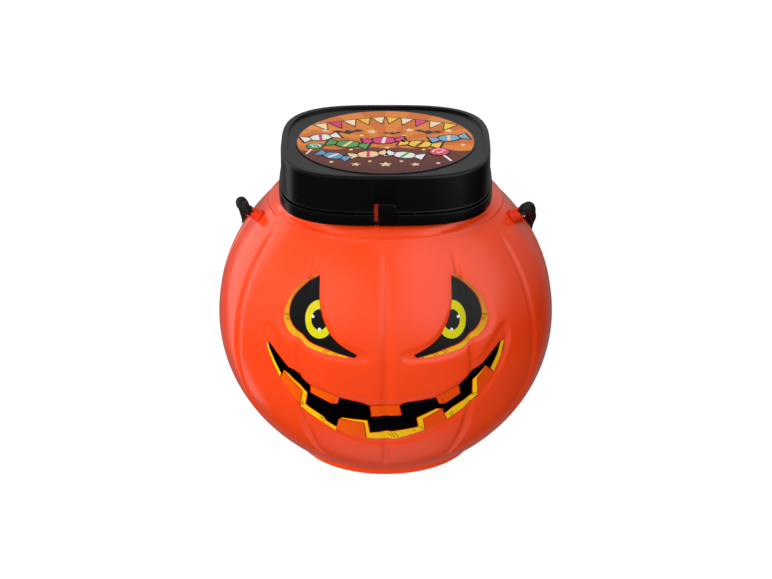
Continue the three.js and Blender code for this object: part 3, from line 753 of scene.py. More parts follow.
INK_BLACK = printed_ink("black_ink", grey(0.0028), grey(0.0048), roughness=0.35)
INK_JET = printed_ink("jet_black_ink", grey(0.0002), grey(0.0005), gloss=0.06)
INK_NAVY = printed_ink("navy_ink", (0.001, 0.001, 0.015), (0.002, 0.002, 0.022))
INK_IRIS = printed_ink("iris_yellow_ink", (0.66, 0.61, 0.0), (0.64, 0.56, 0.0), "Z", 0.106, 0.126, gloss=0.25)
INK_AMBER = printed_ink("amber_ink", (0.84, 0.44, 0.003), (0.5, 0.17, 0.007), "Z", 0.098, 0.132, gloss=0.25)
INK_HATCH = printed_ink("hatch_brown_ink", (0.26, 0.04, 0.001), (0.32, 0.055, 0.001), gloss=0.08)
INK_GOLD = printed_ink("gold_ink", (0.85, 0.48, 0.0), (0.88, 0.58, 0.0), "Z", 0.042, 0.085, gloss=0.08)
INK_TOOTH = printed_ink("tooth_orange_ink", (0.86, 0.1, 0), (0.77, 0.065, 0), "X", -0.05, 0.03, gloss=0.08)
INK_RED = printed_ink("red_line_ink", (0.6, 0.008, 0.001), (0.66, 0.012, 0.001), gloss=0.08)
INK_WHITE = printed_ink("white_ink", grey(0.74), grey(0.78))


def printed_eye(side, mirror):
    """A slit eye: amber rim, black field, yellow iris with a dark outline, dark pupil and two glints."""
    films = [
        (smooth_curve(LID_EDGE_OUTER), smooth_curve(LID_EDGE_INNER), 0, INK_AMBER),
        (smooth_curve(EYE_OUTER), smooth_curve(EYE_INNER), 0, INK_BLACK),
        (*eyeball(IRIS_HALF, 1, grow=IRIS_OUTLINE), INK_NAVY),
        (*eyeball(IRIS_HALF, 2), INK_IRIS),
        (*eyeball(PUPIL_HALF, 3, grow=IRIS_OUTLINE * 0.5), INK_NAVY),
        (*eyeball(PUPIL_HALF, 4), INK_BLACK),
    ]
    films += [(*disc_film(centre, GLINT_RADIUS, 5), INK_WHITE) for centre in GLINTS]
    films += [(*stroke(*hatch, HATCH_WIDTH, 1), INK_HATCH) for hatch in EYE_HATCHES]
    film_piece(f"{side}_eye_print", films, "jar", f"{side}_eye_film", mirror=mirror)


printed_eye("left", False)
printed_eye("right", True)

# Printed mouth: outlines in front view, then each tooth and each lit edge
MOUTH_UPPER = [
    (-67.6, 96.1), (-66.6, 95.7), (-64.8, 94), (-60.4, 89.1), (-55.6, 84.3), (-52.7, 83.9),
    (-48.9, 81.5), (-47.5, 79.5), (-43.2, 76.5), (-26.4, 71.1), (-13.9, 69), (-9.7, 67.3), (0, 67.4),
    (8.1, 67.7), (11.4, 69.2), (28.5, 70.8), (41.7, 76.9), (46.9, 81.3), (49.8, 84.2), (54.3, 86.3),
    (55.9, 87.6), (65.4, 96.7), (66.6, 96.8),
]
MOUTH_LOWER = [
    (-68, 95.1), (-67.9, 93.2), (-64.4, 84), (-60.4, 76.1), (-48.9, 60.2), (-38.9, 53.4), (-28.8, 46.4),
    (-10.7, 42.4), (6.3, 42.1), (22, 47.7), (35.4, 53.9), (44.4, 60), (52.5, 66.3), (61.8, 79.1),
    (65.6, 87.4), (68.1, 94.1), (67.8, 96.5),
]
GOLD_AREAS = [
    (
        [(-68, 95.4), (-67.9, 93.2), (-64.4, 84), (-60.4, 76.4)],
        [(-67.4, 95.7), (-66.8, 92.7), (-63.6, 86), (-60, 79.2)],
    ),
    ([(-58.1, 81.4), (-55.4, 79.8), (-45.3, 71)], [(-58.1, 81.1), (-55.6, 78.9), (-47.2, 70.4)]),
    ([(-47.2, 71.2), (-44.9, 70.9)], [(-48.9, 60.5), (-46.1, 62.2)]),
    (
        [(-48.9, 60.1), (-38.9, 53.3), (-28.6, 46.4)],
        [(-46, 62), (-35.8, 55.5), (-34, 52.4), (-28.3, 49)],
    ),
    ([(-24.9, 56.9), (-10.7, 56.3)], [(-25, 56.1), (-12, 54.6)]),
    ([(-12, 55.2), (-10.6, 56.3)], [(-10.7, 42.3), (-9.3, 46.7)]),
    ([(-10.7, 42.4), (6.3, 42.1), (22, 47.8)], [(-9.3, 46.7), (0.7, 48), (3.9, 48), (19, 50.6)]),
    ([(17.9, 57.7), (29, 62.9), (32.4, 61.9)], [(21.2, 56.2), (30.6, 61.2), (32.2, 61.7)]),
    ([(18.1, 57.6), (21.4, 56.6)], [(19.1, 50.7), (22.2, 47.6)]),
    ([(35.4, 54), (44.4, 60.2), (52.2, 66.7)], [(33.8, 58.4), (38.8, 62.3), (49.5, 68)]),
    ([(49.8, 77.7), (52.4, 78.5)], [(49.9, 68.3), (52.5, 66.5)]),
    ([(50, 77.8), (57.4, 84.7)], [(52.1, 77.6), (57.6, 84.2)]),
]
RIGHT_TIP = ([(65.9, 96.6), (64, 90), (60.1, 82.3)], [(68, 96.4), (65.7, 87.6), (62, 79.5)])
TOOTH_AREAS = [
    ([(-58.3, 81.5), (-47.3, 71)], [(-60.3, 75.7), (-48.9, 60.6)]),
    ([(-26.8, 55.3), (-24.9, 56.3), (-12, 54.7)], [(-28.7, 47), (-20, 44.1), (-10.8, 42.3)]),
    ([(-42.9, 76.4), (-26.4, 71.3)], [(-42.8, 71.5), (-30.5, 66.3), (-27.3, 67.1)]),
    ([(-8.8, 67.1), (7.9, 67.6)], [(-8, 60), (9.1, 60.9)]),
    ([(28.6, 71), (41.5, 76.7)], [(30.6, 66.4), (33.7, 65.8), (42.5, 71)]),
    ([(21.3, 56.9), (30.6, 62), (32.5, 62)], [(22.3, 47.4), (35.1, 53.5)]),
    ([(52.1, 78.4), (57.5, 84.7), (61.6, 79.4)], [(52.7, 66.1), (57.4, 71.9), (61.8, 79.1)]),
]
RED_LINES = [
    [(-58.5, 81.3), (-47.7, 70.7), (-49.3, 60.8)], [(-29.4, 70.1), (-30.6, 66.4)],
    [(-42.7, 76.1), (-42.9, 71.7)], [(-25, 55.9), (-12.4, 54.4), (-11.3, 42.6)],
    [(-8.8, 66.9), (-8.1, 60.1)], [(7.9, 67.4), (9, 61)], [(31.9, 70.3), (33.6, 66)],
    [(21.5, 56.6), (30.6, 61.5), (32.5, 61.7), (35.2, 53.8)], [(21.5, 56.6), (22.6, 47.5)],
    [(57.5, 84.3), (52.3, 78.2), (53, 66.2)], [(57.5, 84.7), (61.8, 79.2)], [(41.6, 76.6), (42.5, 71.1)],
]
ORANGE_EDGES = [
    [(-8.6, 59.9), (9.3, 60.8)],
    [(-57.9, 81.7), (-55.2, 80.3), (-45, 71.2), (-44.8, 70.8), (-46, 62.2)],
    [(-46, 62.2), (-35.6, 55.8), (-33.8, 52.7), (-28.2, 49.3)],
    [(-26.5, 55.3), (-24.9, 57), (-10.5, 56.5), (-9.1, 46.8)],
    [(-9.1, 46.8), (0.7, 48.2), (3.9, 48.2), (18.8, 50.8)],
    [(18.8, 50.8), (17.8, 57.8), (29, 63.1), (32.8, 62)],
    [(33.8, 58.6), (38.7, 62.6), (49.6, 68.4), (49.7, 77.8), (57.3, 85)],
]
MOUTH_HATCHES = [
    ((-48.5, 61), (-47.2, 62.7)), ((-48.2, 62.1), (-46.9, 63.9)), ((-37.2, 54.6), (-36, 56.6)),
    ((-36.8, 53.6), (-35.2, 55.2)), ((-36.1, 51.5), (-34.8, 53.2)), ((0.9, 47.4), (3.8, 43.1)),
    ((2.9, 47.7), (5.4, 43)), ((5, 47.3), (7.5, 43.1)), ((15.6, 48.9), (17, 47.4)),
    ((20.1, 51.2), (21.4, 48.1)), ((36.5, 58.2), (38.6, 54.8)), ((37.7, 59), (39.1, 56.4)),
    ((47.6, 63.7), (49.6, 63.7)), ((50, 68.9), (52.5, 68.8)), ((50.4, 68), (52.5, 66.2)),
]


def printed_mouth():
    """A jagged grin: a black opening, blocky teeth with lit edges, and thin lines along the teeth."""
    films = [(MOUTH_LOWER, MOUTH_UPPER, 0, INK_JET)]
    films += [(*area, 2, INK_GOLD) for area in GOLD_AREAS]
    films.append((*RIGHT_TIP, 2, INK_AMBER))
    films += [(*area, 3, INK_TOOTH) for area in TOOTH_AREAS]
    fine_lines = ((RED_LINES, LINE_WIDTH, INK_RED, 5), (ORANGE_EDGES, EDGE_WIDTH, INK_TOOTH, 4))
    for lines, width, ink, lift in fine_lines:
        for line in lines:
            films += [(*stroke(a, b, width, lift), ink) for a, b in zip(line[:-1], line[1:])]
    films += [(*stroke(*hatch, HATCH_WIDTH, 4), INK_HATCH) for hatch in MOUTH_HATCHES]
    film_piece("mouth_print", films, "jar", "mouth_film")


printed_mouth()


# Lid, tear band and tab


def turned_squircle(profile, closed=False):
    """A profile of (half width, height) points carried round a squircle. Its ends are on the axis, or they
    meet in a closed ring."""
    profile = np.asarray(profile, float)
    angles = np.linspace(-180, 180, SQUIRCLE_COLUMNS, endpoint=False)
    reach = profile[:, :1] * squircle_reach(angles)
    points = round_axis(reach, np.radians(angles), np.broadcast_to(profile[:, 1:], reach.shape))
    return points, [grid_quads(len(profile), SQUIRCLE_COLUMNS, closed, wrap_columns=True)]


def rounded(corner, before, after, radius, steps=4):
    """Points that round a profile's corner: a quadratic curve whose ends lie one radius from the corner."""
    corner, before, after = (np.asarray(p, float) for p in (corner, before, after))
    start = corner + (before - corner) / np.linalg.norm(before - corner) * radius
    end = corner + (after - corner) / np.linalg.norm(after - corner) * radius
    t = np.linspace(0, 1, steps + 1)[:, None]
    return [tuple(p) for p in (1 - t) ** 2 * start + 2 * t * (1 - t) * corner + t**2 * end]


def rounded_profile(corners):
    """A profile of (half width, height, rounding) corners as points, with each corner rounded."""
    points = []
    for number, (half, height, radius) in enumerate(corners):
        if radius == 0 or number in (0, len(corners) - 1):
            points.append((half, height))
            continue
        before, after = corners[number - 1][:2], corners[number + 1][:2]
        points += rounded((half, height), before, after, radius)
    return points


def front_block(outline, near_half, far_half):
    """A block with this outline in front view, between two distances in front of the jar's axis."""
    count = len(outline)
    flat = np.array(outline, float)
    near = np.stack([flat[:, 0], np.full(count, -near_half), flat[:, 1]], axis=-1)
    far = near * np.array([1, 0, 1]) + np.array([0, -far_half, 0])
    index = np.arange(count)
    ahead = np.roll(index, -1)
    sides = np.stack([index, ahead, ahead + count, index + count], axis=-1)
    return np.concatenate([near, far]), [index[None], (index + count)[None, ::-1], sides]


def cut_out(piece, outline, far_half=CUT_FAR_HALF):
    """Cuts a block with this front-view outline out of a piece, down to a distance from the axis."""
    shape = (*front_block(outline, CUT_NEAR_HALF, far_half), 0)
    cutter = make_piece(piece.name + "_cut", [shape], [BLACK], None, ride=False)
    difference = piece.modifiers.new("notch", "BOOLEAN")
    difference.object = cutter
    difference.operation = "DIFFERENCE"
    difference.solver = "EXACT"
    keep_modified(piece)
    bpy.data.objects.remove(cutter)
    tidy_mesh(piece.data, BLACK_SHARP)


def keep_modified(piece):
    """Replaces a piece's mesh by what its modifiers make of it."""
    bpy.context.view_layer.update()
    evaluated = piece.evaluated_get(bpy.context.evaluated_depsgraph_get())
    mesh = bpy.data.meshes.new_from_object(evaluated)
    piece.modifiers.clear()
    piece.data = mesh


def tab_outline(grow):
    """The tab in front view: straight sides, a nub at the upper left, a sloping corner at the upper right."""
    left, right, top = TAB_LEFT_X - grow, TAB_RIGHT_X + grow, TAB_TOP_Z + grow
    low = BAND_BOTTOM_Z - grow
    return [
        (left, low), (left, top - TAB_NUB), (left + TAB_NUB, top - TAB_NUB), (left + 1.5 * TAB_NUB, top),
        (right - TAB_NUB, top - TAB_NUB), (right, top - 2 * TAB_NUB), (right, low),
    ]


def slot_outline():
    """The open slot on the tab's left, from below the band up to the tab's nub."""
    left, right = TAB_LEFT_X - SLOT_WIDTH, TAB_LEFT_X - CLEARANCE
    low, high = BAND_BOTTOM_Z - 5, TAB_TOP_Z - TAB_NUB
    return [(left, low), (left, high), (right, high), (right, low)]


def pocket_outline():
    """The tab's outline with its clearance, open below, and reaching a little into the slot."""
    grown = tab_outline(TAB_GAP)
    left, low = TAB_LEFT_X - 2 * CLEARANCE, BAND_BOTTOM_Z - 5
    return [(left, low), (left, grown[1][1]), *grown[1:6], (grown[6][0], low)]


def black_lid():
    """Skirt, rounded rim and recessed panel outside; underside, seal ring and inner wall inside."""
    rim = LID_HALF_WIDTH - LID_RIM_WIDTH
    lip_z = BAND_TOP_Z + LIP_GAP
    lip_half = LID_INNER_HALF + CLEARANCE - LIP_GAP
    foot_half = LID_INNER_HALF + SKIRT_LIP_WALL
    bead_half = LID_HALF_WIDTH + SKIRT_BEAD
    seal_inner, seal_z = SEAL_HALF - SEAL_WALL, LID_UNDERSIDE_Z - SEAL_DEPTH
    corners = [
        (0, LID_UNDERSIDE_Z, 0), (seal_inner, LID_UNDERSIDE_Z, 0.4), (seal_inner, seal_z, 0.5),
        (SEAL_HALF, seal_z, 0.6), (SEAL_HALF, LID_UNDERSIDE_Z, 0.3), (LID_INNER_HALF, LID_UNDERSIDE_Z, 0.6),
        (LID_INNER_HALF, lip_z - LIP_OVERLAP, 0), (lip_half, lip_z - LIP_OVERLAP, 0), (lip_half, lip_z, 0),
        (foot_half, lip_z, 0.1), (foot_half, SKIRT_BOTTOM_Z, 0.1), (bead_half, SKIRT_BOTTOM_Z, 0.12),
        (bead_half, SKIRT_BOTTOM_Z + SKIRT_BEAD, 0.12),
        (LID_HALF_WIDTH, SKIRT_BOTTOM_Z + 2 * SKIRT_BEAD, 0.15), (LID_HALF_WIDTH, LID_TOP_Z, LID_RIM_ROUND),
        (rim, LID_TOP_Z, 0.4), (rim, LID_PANEL_Z, 0.3), (0, LID_PANEL_Z, 0),
    ]
    shape = (*turned_squircle(rounded_profile(corners)), 0)
    lid = make_piece("black_lid", [shape], [BLACK], "lid", BLACK_SHARP, ["lid"])
    cut_out(lid, slot_outline())
    cut_out(lid, pocket_outline(), foot_half)


def block(centre, size, turn=0.0):
    """A small closed block, turned about Z by an angle in degrees."""
    square = ((-0.5, -0.5), (0.5, -0.5), (0.5, 0.5), (-0.5, 0.5))
    corners = np.array([(x, y, z) for z in (-0.5, 0.5) for x, y in square]) * np.asarray(size, float)
    c, s = math.cos(math.radians(turn)), math.sin(math.radians(turn))
    spun = corners @ np.array([[c, s, 0], [-s, c, 0], [0, 0, 1]])
    faces = np.array([(0, 3, 2, 1), (4, 5, 6, 7), (0, 1, 5, 4), (1, 2, 6, 5), (2, 3, 7, 6), (3, 0, 4, 7)])
    return spun + np.asarray(centre, float), [faces]


def tear_band():
    """A ring with a rounded foot and a lip under the lid's skirt, open at the tab and the slot, with thin
    bridges up to the skirt, a strap across the foot of the slot and a thin tongue behind the tab."""
    lip_z = BAND_TOP_Z - BAND_LIP_HEIGHT
    corners = [
        (BAND_INNER_HALF, BAND_BOTTOM_Z, 0.3), (BAND_HALF_WIDTH, BAND_BOTTOM_Z, 0.6),
        (BAND_HALF_WIDTH, BAND_TOP_Z, 0.4), (BAND_LIP_HALF, BAND_TOP_Z, 0.2), (BAND_LIP_HALF, lip_z, 0.2),
        (BAND_INNER_HALF, lip_z, 0.2),
    ]
    closed = [corners[-1], *corners, corners[0]]
    ring = (*turned_squircle(rounded_profile(closed)[1:-1], closed=True), 0)
    band = make_piece("tear_band_ring", [ring], [BLACK], "lid", BLACK_SHARP, ["tear_band"])
    cut_out(band, slot_outline())
    cut_out(band, pocket_outline())
    low = BAND_TOP_Z - BAND_LIP_HEIGHT / 2
    high = SKIRT_BOTTOM_Z - CLEARANCE
    web_inner = LID_INNER_HALF + SKIRT_LIP_WALL + LIP_GAP
    half = (web_inner + LID_HALF_WIDTH) / 2
    shapes = []
    for number in range(BRIDGE_COUNT):
        angle = 360 * (number + 0.5) / BRIDGE_COUNT
        reach = float(half * squircle_reach(angle))
        place = round_axis(reach, math.radians(angle), (low + high) / 2)
        size = (BRIDGE_WIDTH, LID_HALF_WIDTH - web_inner, high - low)
        shapes.append((*block(place, size, angle), 0))
    strap_length = SLOT_WIDTH - CLEARANCE + BRIDGE_WIDTH
    strap_centre = (
        TAB_LEFT_X - CLEARANCE - strap_length / 2,
        -(BAND_INNER_HALF + BAND_HALF_WIDTH) / 2,
        BAND_BOTTOM_Z + STRAP_LIFT + STRAP_HEIGHT / 2,
    )
    shapes.append((*block(strap_centre, (strap_length, BAND_WALL / 2, STRAP_HEIGHT)), 0))
    tongue_left, tongue_right = TAB_LEFT_X - CLEARANCE, TAB_RIGHT_X + 2 * CLEARANCE
    tongue_y = -BAND_LIP_HALF - TONGUE_WALL / 2 - LIP_GAP
    tongue_centre = ((tongue_left + tongue_right) / 2, tongue_y, BAND_MIDDLE_Z)
    tongue_size = (tongue_right - tongue_left, TONGUE_WALL, BAND_HEIGHT - 2 * LIP_GAP)
    shapes.append((*block(tongue_centre, tongue_size), 0))
    webs = make_piece("tear_band_webs", shapes, [BLACK], "lid", BLACK_SHARP)
    soften(webs, 0.12)


def soften(piece, width, segments=2):
    """Rounds a piece's sharp edges by a width in millimetres."""
    bevel = piece.modifiers.new("edges", "BEVEL")
    bevel.width = width * MM
    bevel.segments = segments
    bevel.limit_method = "ANGLE"
    bevel.angle_limit = math.radians(30)
    keep_modified(piece)
    piece.data.polygons.foreach_set("use_smooth", np.ones(len(piece.data.polygons), dtype=bool))
    piece.data.set_sharp_from_angle(angle=math.radians(40))


def pull_tab():
    """The tab: its front-view outline carried through the band's wall, with small rounded edges."""
    shape = (*front_block(tab_outline(0), BAND_INNER_HALF, BAND_HALF_WIDTH), 0)
    tab = make_piece("pull_tab", [shape], [BLACK], "tab", replaces=["tear_tab"])
    soften(tab, 0.35, 3)


black_lid()
tear_band()
pull_tab()


# Lid label


def rim_points(radius, start, end, count=49, centre=(0, 0)):
    """Points of an arc; angles are in degrees from +X towards +Y."""
    turn = np.radians(np.linspace(start, end, count))
    return np.stack([centre[0] + radius * np.cos(turn), centre[1] + radius * np.sin(turn)], axis=-1)


def sunburst(name, first, second, cloudy, rays, centre):
    """Ink in equal rays of two colours about a centre, with soft cloudy streaks of a third across them."""
    material, tree, shader = new_finish(name)
    place = own_place(tree)
    shift = {0: place, 1: (centre[0] * MM, centre[1] * MM, 0)}
    moved = add_node(tree, "VectorMath", shift, operation="SUBTRACT").outputs["Vector"]
    parts = add_node(tree, "SeparateXYZ", {"Vector": moved}).outputs
    angle = add_node(tree, "Math", {0: parts["X"], 1: parts["Y"]}, operation="ARCTAN2").outputs["Value"]
    wave = add_node(tree, "Math", {0: angle, 1: float(rays)}, operation="MULTIPLY").outputs["Value"]
    height = add_node(tree, "Math", {0: wave}, operation="SINE").outputs["Value"]
    level = add_node(tree, "MapRange", {"Value": height, "From Min": -0.12, "From Max": 0.12})
    rays_tone = tone_ramp(tree, level.outputs["Result"], [(0, first), (1, second)])
    cloud = {"Value": noise(tree, place, 34.0, 4.0), "From Min": 0.56, "From Max": 0.72, "To Max": 0.55}
    share = add_node(tree, "MapRange", cloud).outputs["Result"]
    mixed = add_node(tree, "Mix", {}, data_type="RGBA")
    feed(mixed, {0: share, 6: rays_tone, 7: (*cloudy, 1)})
    relief(tree, shader, noise(tree, place, 900.0), 0.04, 0.0001)
    feed(shader, {"Base Color": mixed.outputs[2], "Roughness": 0.4})
    return material


SUN_CENTRE = (0, -6)
SUN_RAYS = 12
SUN_SHADES = ((0.557, 0.139, 0.012), (0.661, 0.196, 0.024), (0.766, 0.374, 0.131))
LABEL_SHADES = {
    "navy": ((0.01, 0.009, 0.017), (0.017, 0.013, 0.026), "X", -0.05, 0.05),
    "maroon": ((0.065, 0.01, 0.007), (0.139, 0.026, 0.01), "Y", -0.05, -0.01),
    "cream": ((0.783, 0.539, 0.296), (0.827, 0.696, 0.479), "Y", 0.0, 0.05),
    "pink": ((0.539, 0.026, 0.139), (0.652, 0.052, 0.191), "X", -0.05, 0.05),
    "green": ((0.044, 0.261, 0.07), (0.104, 0.392, 0.087), "X", -0.05, 0.05),
    "blue": ((0.087, 0.261, 0.435), (0.174, 0.365, 0.522), "X", -0.05, 0.05),
    "brown": ((0.139, 0.03, 0.01), (0.191, 0.044, 0.017), "X", -0.05, 0.05),
    "gold": ((0.739, 0.392, 0.026), (0.827, 0.522, 0.052), "X", -0.05, 0.05),
    "white": ((0.696, 0.679, 0.644), (0.748, 0.739, 0.713), "X", -0.05, 0.05),
}
INKS = {"sun": sunburst("label_sunburst", *SUN_SHADES, SUN_RAYS, SUN_CENTRE)}
INKS |= {shade: printed_ink(f"label_{shade}", *values) for shade, values in LABEL_SHADES.items()}


def turned_points(points, centre, turn):
    """Plan-view points turned by an angle in degrees and moved to a centre."""
    c, s = math.cos(math.radians(turn)), math.sin(math.radians(turn))
    return np.asarray(points, float) @ np.array([[c, s], [-s, c]]) + np.asarray(centre, float)


def sweet_films(centre, size, turn, wrapper, stripe, lift):
    """A wrapped sweet: two fanned ends and an oval middle over a dark outline, with a stripe across."""
    films = []
    half = np.linspace(0, np.pi, 17)
    for grow, ink, up in ((0.1, "navy", 0), (0, wrapper, 1)):
        low = np.stack([-np.cos(half) * (0.5 + grow), -np.sin(half) * (0.36 + grow)], axis=-1)
        films.append((low, low * (1, -1), lift + up, ink))
        for side in (-1, 1):
            fan_low = [(side * (0.44 - grow), -0.1 - grow), (side * (0.86 + grow), -0.36 - grow)]
            fan_high = [(side * (0.44 - grow), 0.1 + grow), (side * (0.86 + grow), 0.36 + grow)]
            films.append((fan_low, fan_high, lift + up, ink))
    band = [(-0.16, -0.32), (-0.02, -0.35)], [(0.02, 0.35), (0.16, 0.32)]
    films.append((*band, lift + 2, stripe))
    return [
        (*(turned_points(np.multiply(edge, size), centre, turn) for edge in edges), up, ink)
        for *edges, up, ink in films
    ]


def star_films(centre, size, turn, ink, lift):
    """A five-pointed star as five kites that meet in its middle."""
    films = []
    for point in range(5):
        at = turn + 72 * point
        tip = turned_points([(size, 0)], centre, at)[0]
        sides = [turned_points([(0.42 * size, 0)], centre, at + half)[0] for half in (-36, 36)]
        films.append(([centre, sides[0]], [sides[1], tip], lift, ink))
    return films


def dot_films(centre, radius, ink, lift):
    """A round dot."""
    return [(*disc_film(centre, radius, lift), ink)]


def pennant_films(start, end, sag, count, inks, lift):
    """A string of triangular flags, each over a darker one, hung between two points on a sagging line."""
    films = []
    share = np.linspace(0, 1, count + 1)
    knots = np.outer(1 - share, start) + np.outer(share, end)
    knots[:, 1] -= sag * 4 * share * (1 - share)
    for number, (a, b) in enumerate(zip(knots[:-1], knots[1:])):
        run = b - a
        down = np.array([run[1], -run[0]])
        for edge, tip_at, ink, up in ((0.0, 1.3, "navy", 0), (0.11, 1.1, inks[number % len(inks)], 1)):
            tip = (a + b) / 2 + down * tip_at
            top = down * (edge - 0.08)
            high = [a + run * edge + top, b - run * edge + top]
            films.append((high, [tip - run * 0.03, tip + run * 0.03], lift + up, ink))
    return films


BAT_UPPER = [(-1, 0.2), (-0.62, 0.42), (-0.22, 0.12), (-0.1, 0.34)]
BAT_UPPER += flipped(BAT_UPPER[::-1])
BAT_LOWER = [(-1, 0.2), (-0.72, 0), (-0.42, 0.02), (-0.2, -0.2), (0, -0.34)]
BAT_LOWER += flipped(BAT_LOWER[-2::-1])


def bat_films(centre, size, turn, lift):
    """A small bat with scalloped wings."""
    edges = [turned_points(np.multiply(edge, size), centre, turn) for edge in (BAT_LOWER, BAT_UPPER)]
    return [(*edges, lift, "navy")]


def lolly_films(centre, radius, turn, ink, stripe, lift):
    """A round lolly on a white stick, with a swirl of two half rings."""
    stick = [[(-0.13, -2.9), (0.13, -2.9)], [(-0.13, -0.9), (0.13, -0.9)]]
    films = [(*(turned_points(np.multiply(edge, radius), centre, turn) for edge in stick), lift, "white")]
    films += dot_films(centre, radius * 1.14, "navy", lift + 1) + dot_films(centre, radius, ink, lift + 2)
    for start, inner in ((turn, 0.55), (turn + 180, 0.2)):
        arcs = [rim_points(radius * (inner + wide), start, start + 180, 17, centre) for wide in (0, 0.2)]
        films.append((*arcs, lift + 3, stripe))
    return films


SWEETS = [
    ((-38, 6), 13, 20, "white", "pink"), ((-22, -5), 14, -14, "green", "cream"),
    ((-1, 1), 14, 8, "pink", "white"), ((20, -5), 14, -12, "gold", "brown"),
    ((37, 5), 13, 16, "blue", "cream"), ((-30, -24), 12, -30, "blue", "white"),
    ((-10, -22), 13, 14, "cream", "pink"), ((11, -23), 13, -16, "white", "green"),
]
LOLLIES = [((31, -18), 5.6, 24, "pink", "cream"), ((-41, -9), 4.6, -20, "green", "white")]
BATS = [((-22, 15), 9.5, 8), ((25, 15), 8.5, -10), ((4, 13), 5.5, 4)]
STARS = [
    ((-8, 16), 3.6, 80), ((14, 18.5), 3.2, 100), ((37, 17.5), 3, 84), ((-35, 18), 3, 96),
    ((0, -38), 4, 90), ((-17, -38), 3, 78), ((17, -38), 3, 102),
]
DOTS = [
    ((-14, 9.5), 1.3), ((11, 9), 1.3), ((45, -6), 1.4), ((-47, 0), 1.2), ((-20, -14), 1.2), ((1, -11), 1.3),
    ((22, -14), 1.2), ((-31, -34), 1.2), ((30, -36), 1.2), ((-9, -33), 1.1), ((9, -33), 1.1),
]
HILL_RISE = 5.5
SCALLOPS = 7
SCALLOP_DEPTH = 2.2


def lid_label():
    """The round label: sunburst, a scalloped dark foot, two strings of flags, sweets, lollies, bats, stars
    and dots, and a thin dark edge."""
    inner = LABEL_RADIUS - LABEL_EDGE
    films = [(rim_points(inner, -180, 0), rim_points(inner, 180, 0), 0, "sun")]
    films.append((rim_points(inner, 0, 360, 97), rim_points(LABEL_RADIUS, 0, 360, 97), 0, "navy"))
    hill = rim_points(inner - 0.1, -163, -17)
    share = np.linspace(0, 1, 121)
    rise = HILL_RISE * np.sin(np.pi * share) - SCALLOP_DEPTH * np.abs(np.sin(SCALLOPS * np.pi * share))
    scallop = np.stack([hill[0, 0] + (hill[-1, 0] - hill[0, 0]) * share, hill[0, 1] + rise], axis=-1)
    films.append((hill, scallop, 1, "maroon"))
    flags = ["cream", "pink", "cream", "gold"]
    films += pennant_films((-43, 27), (0, 41), -1.5, 5, flags, 2)
    films += pennant_films((0, 41), (43, 27), -1.5, 5, flags[::-1], 2)
    for centre, size, turn, wrapper, stripe in SWEETS:
        films += sweet_films(centre, size, turn, wrapper, stripe, 2)
    for centre, radius, turn, ink, stripe in LOLLIES:
        films += lolly_films(centre, radius, turn, ink, stripe, 5)
    for centre, size, turn in BATS:
        films += bat_films(centre, size, turn, 2)
    for centre, size, turn in STARS:
        films += star_films(centre, size, turn, "cream", 2)
    for centre, radius in DOTS:
        films += dot_films(centre, radius, "cream", 2)
    films = [(*area, INKS[shade]) for *area, shade in films]
    film_piece("lid_label_print", films, "lid", "lid_label", film_on_lid)


lid_label()


# Handle plugs


def direction(side, azimuth, elevation):
    """A direction by its angle from the front and its rise, on one side of the jar."""
    rise = math.radians(elevation)
    return round_axis(math.cos(rise), side * math.radians(azimuth), math.sin(rise))


def plug_frame(side):
    """The seat of a plug on the shoulder, the way straight out of the shoulder, and the plug's three
    directions: sideways, up along the shoulder, and along its leaning axis."""
    outward = direction(side, SEAT_AZIMUTH, SEAT_ELEVATION)
    along = direction(side, PLUG_AZIMUTH, PLUG_ELEVATION)
    seat = outward * BODY_RADIUS + np.array([0, 0, BODY_CENTRE_Z])
    sideways = np.cross([0, 0, 1], along)
    sideways /= np.linalg.norm(sideways)
    return seat, outward, sideways, np.cross(along, sideways), along


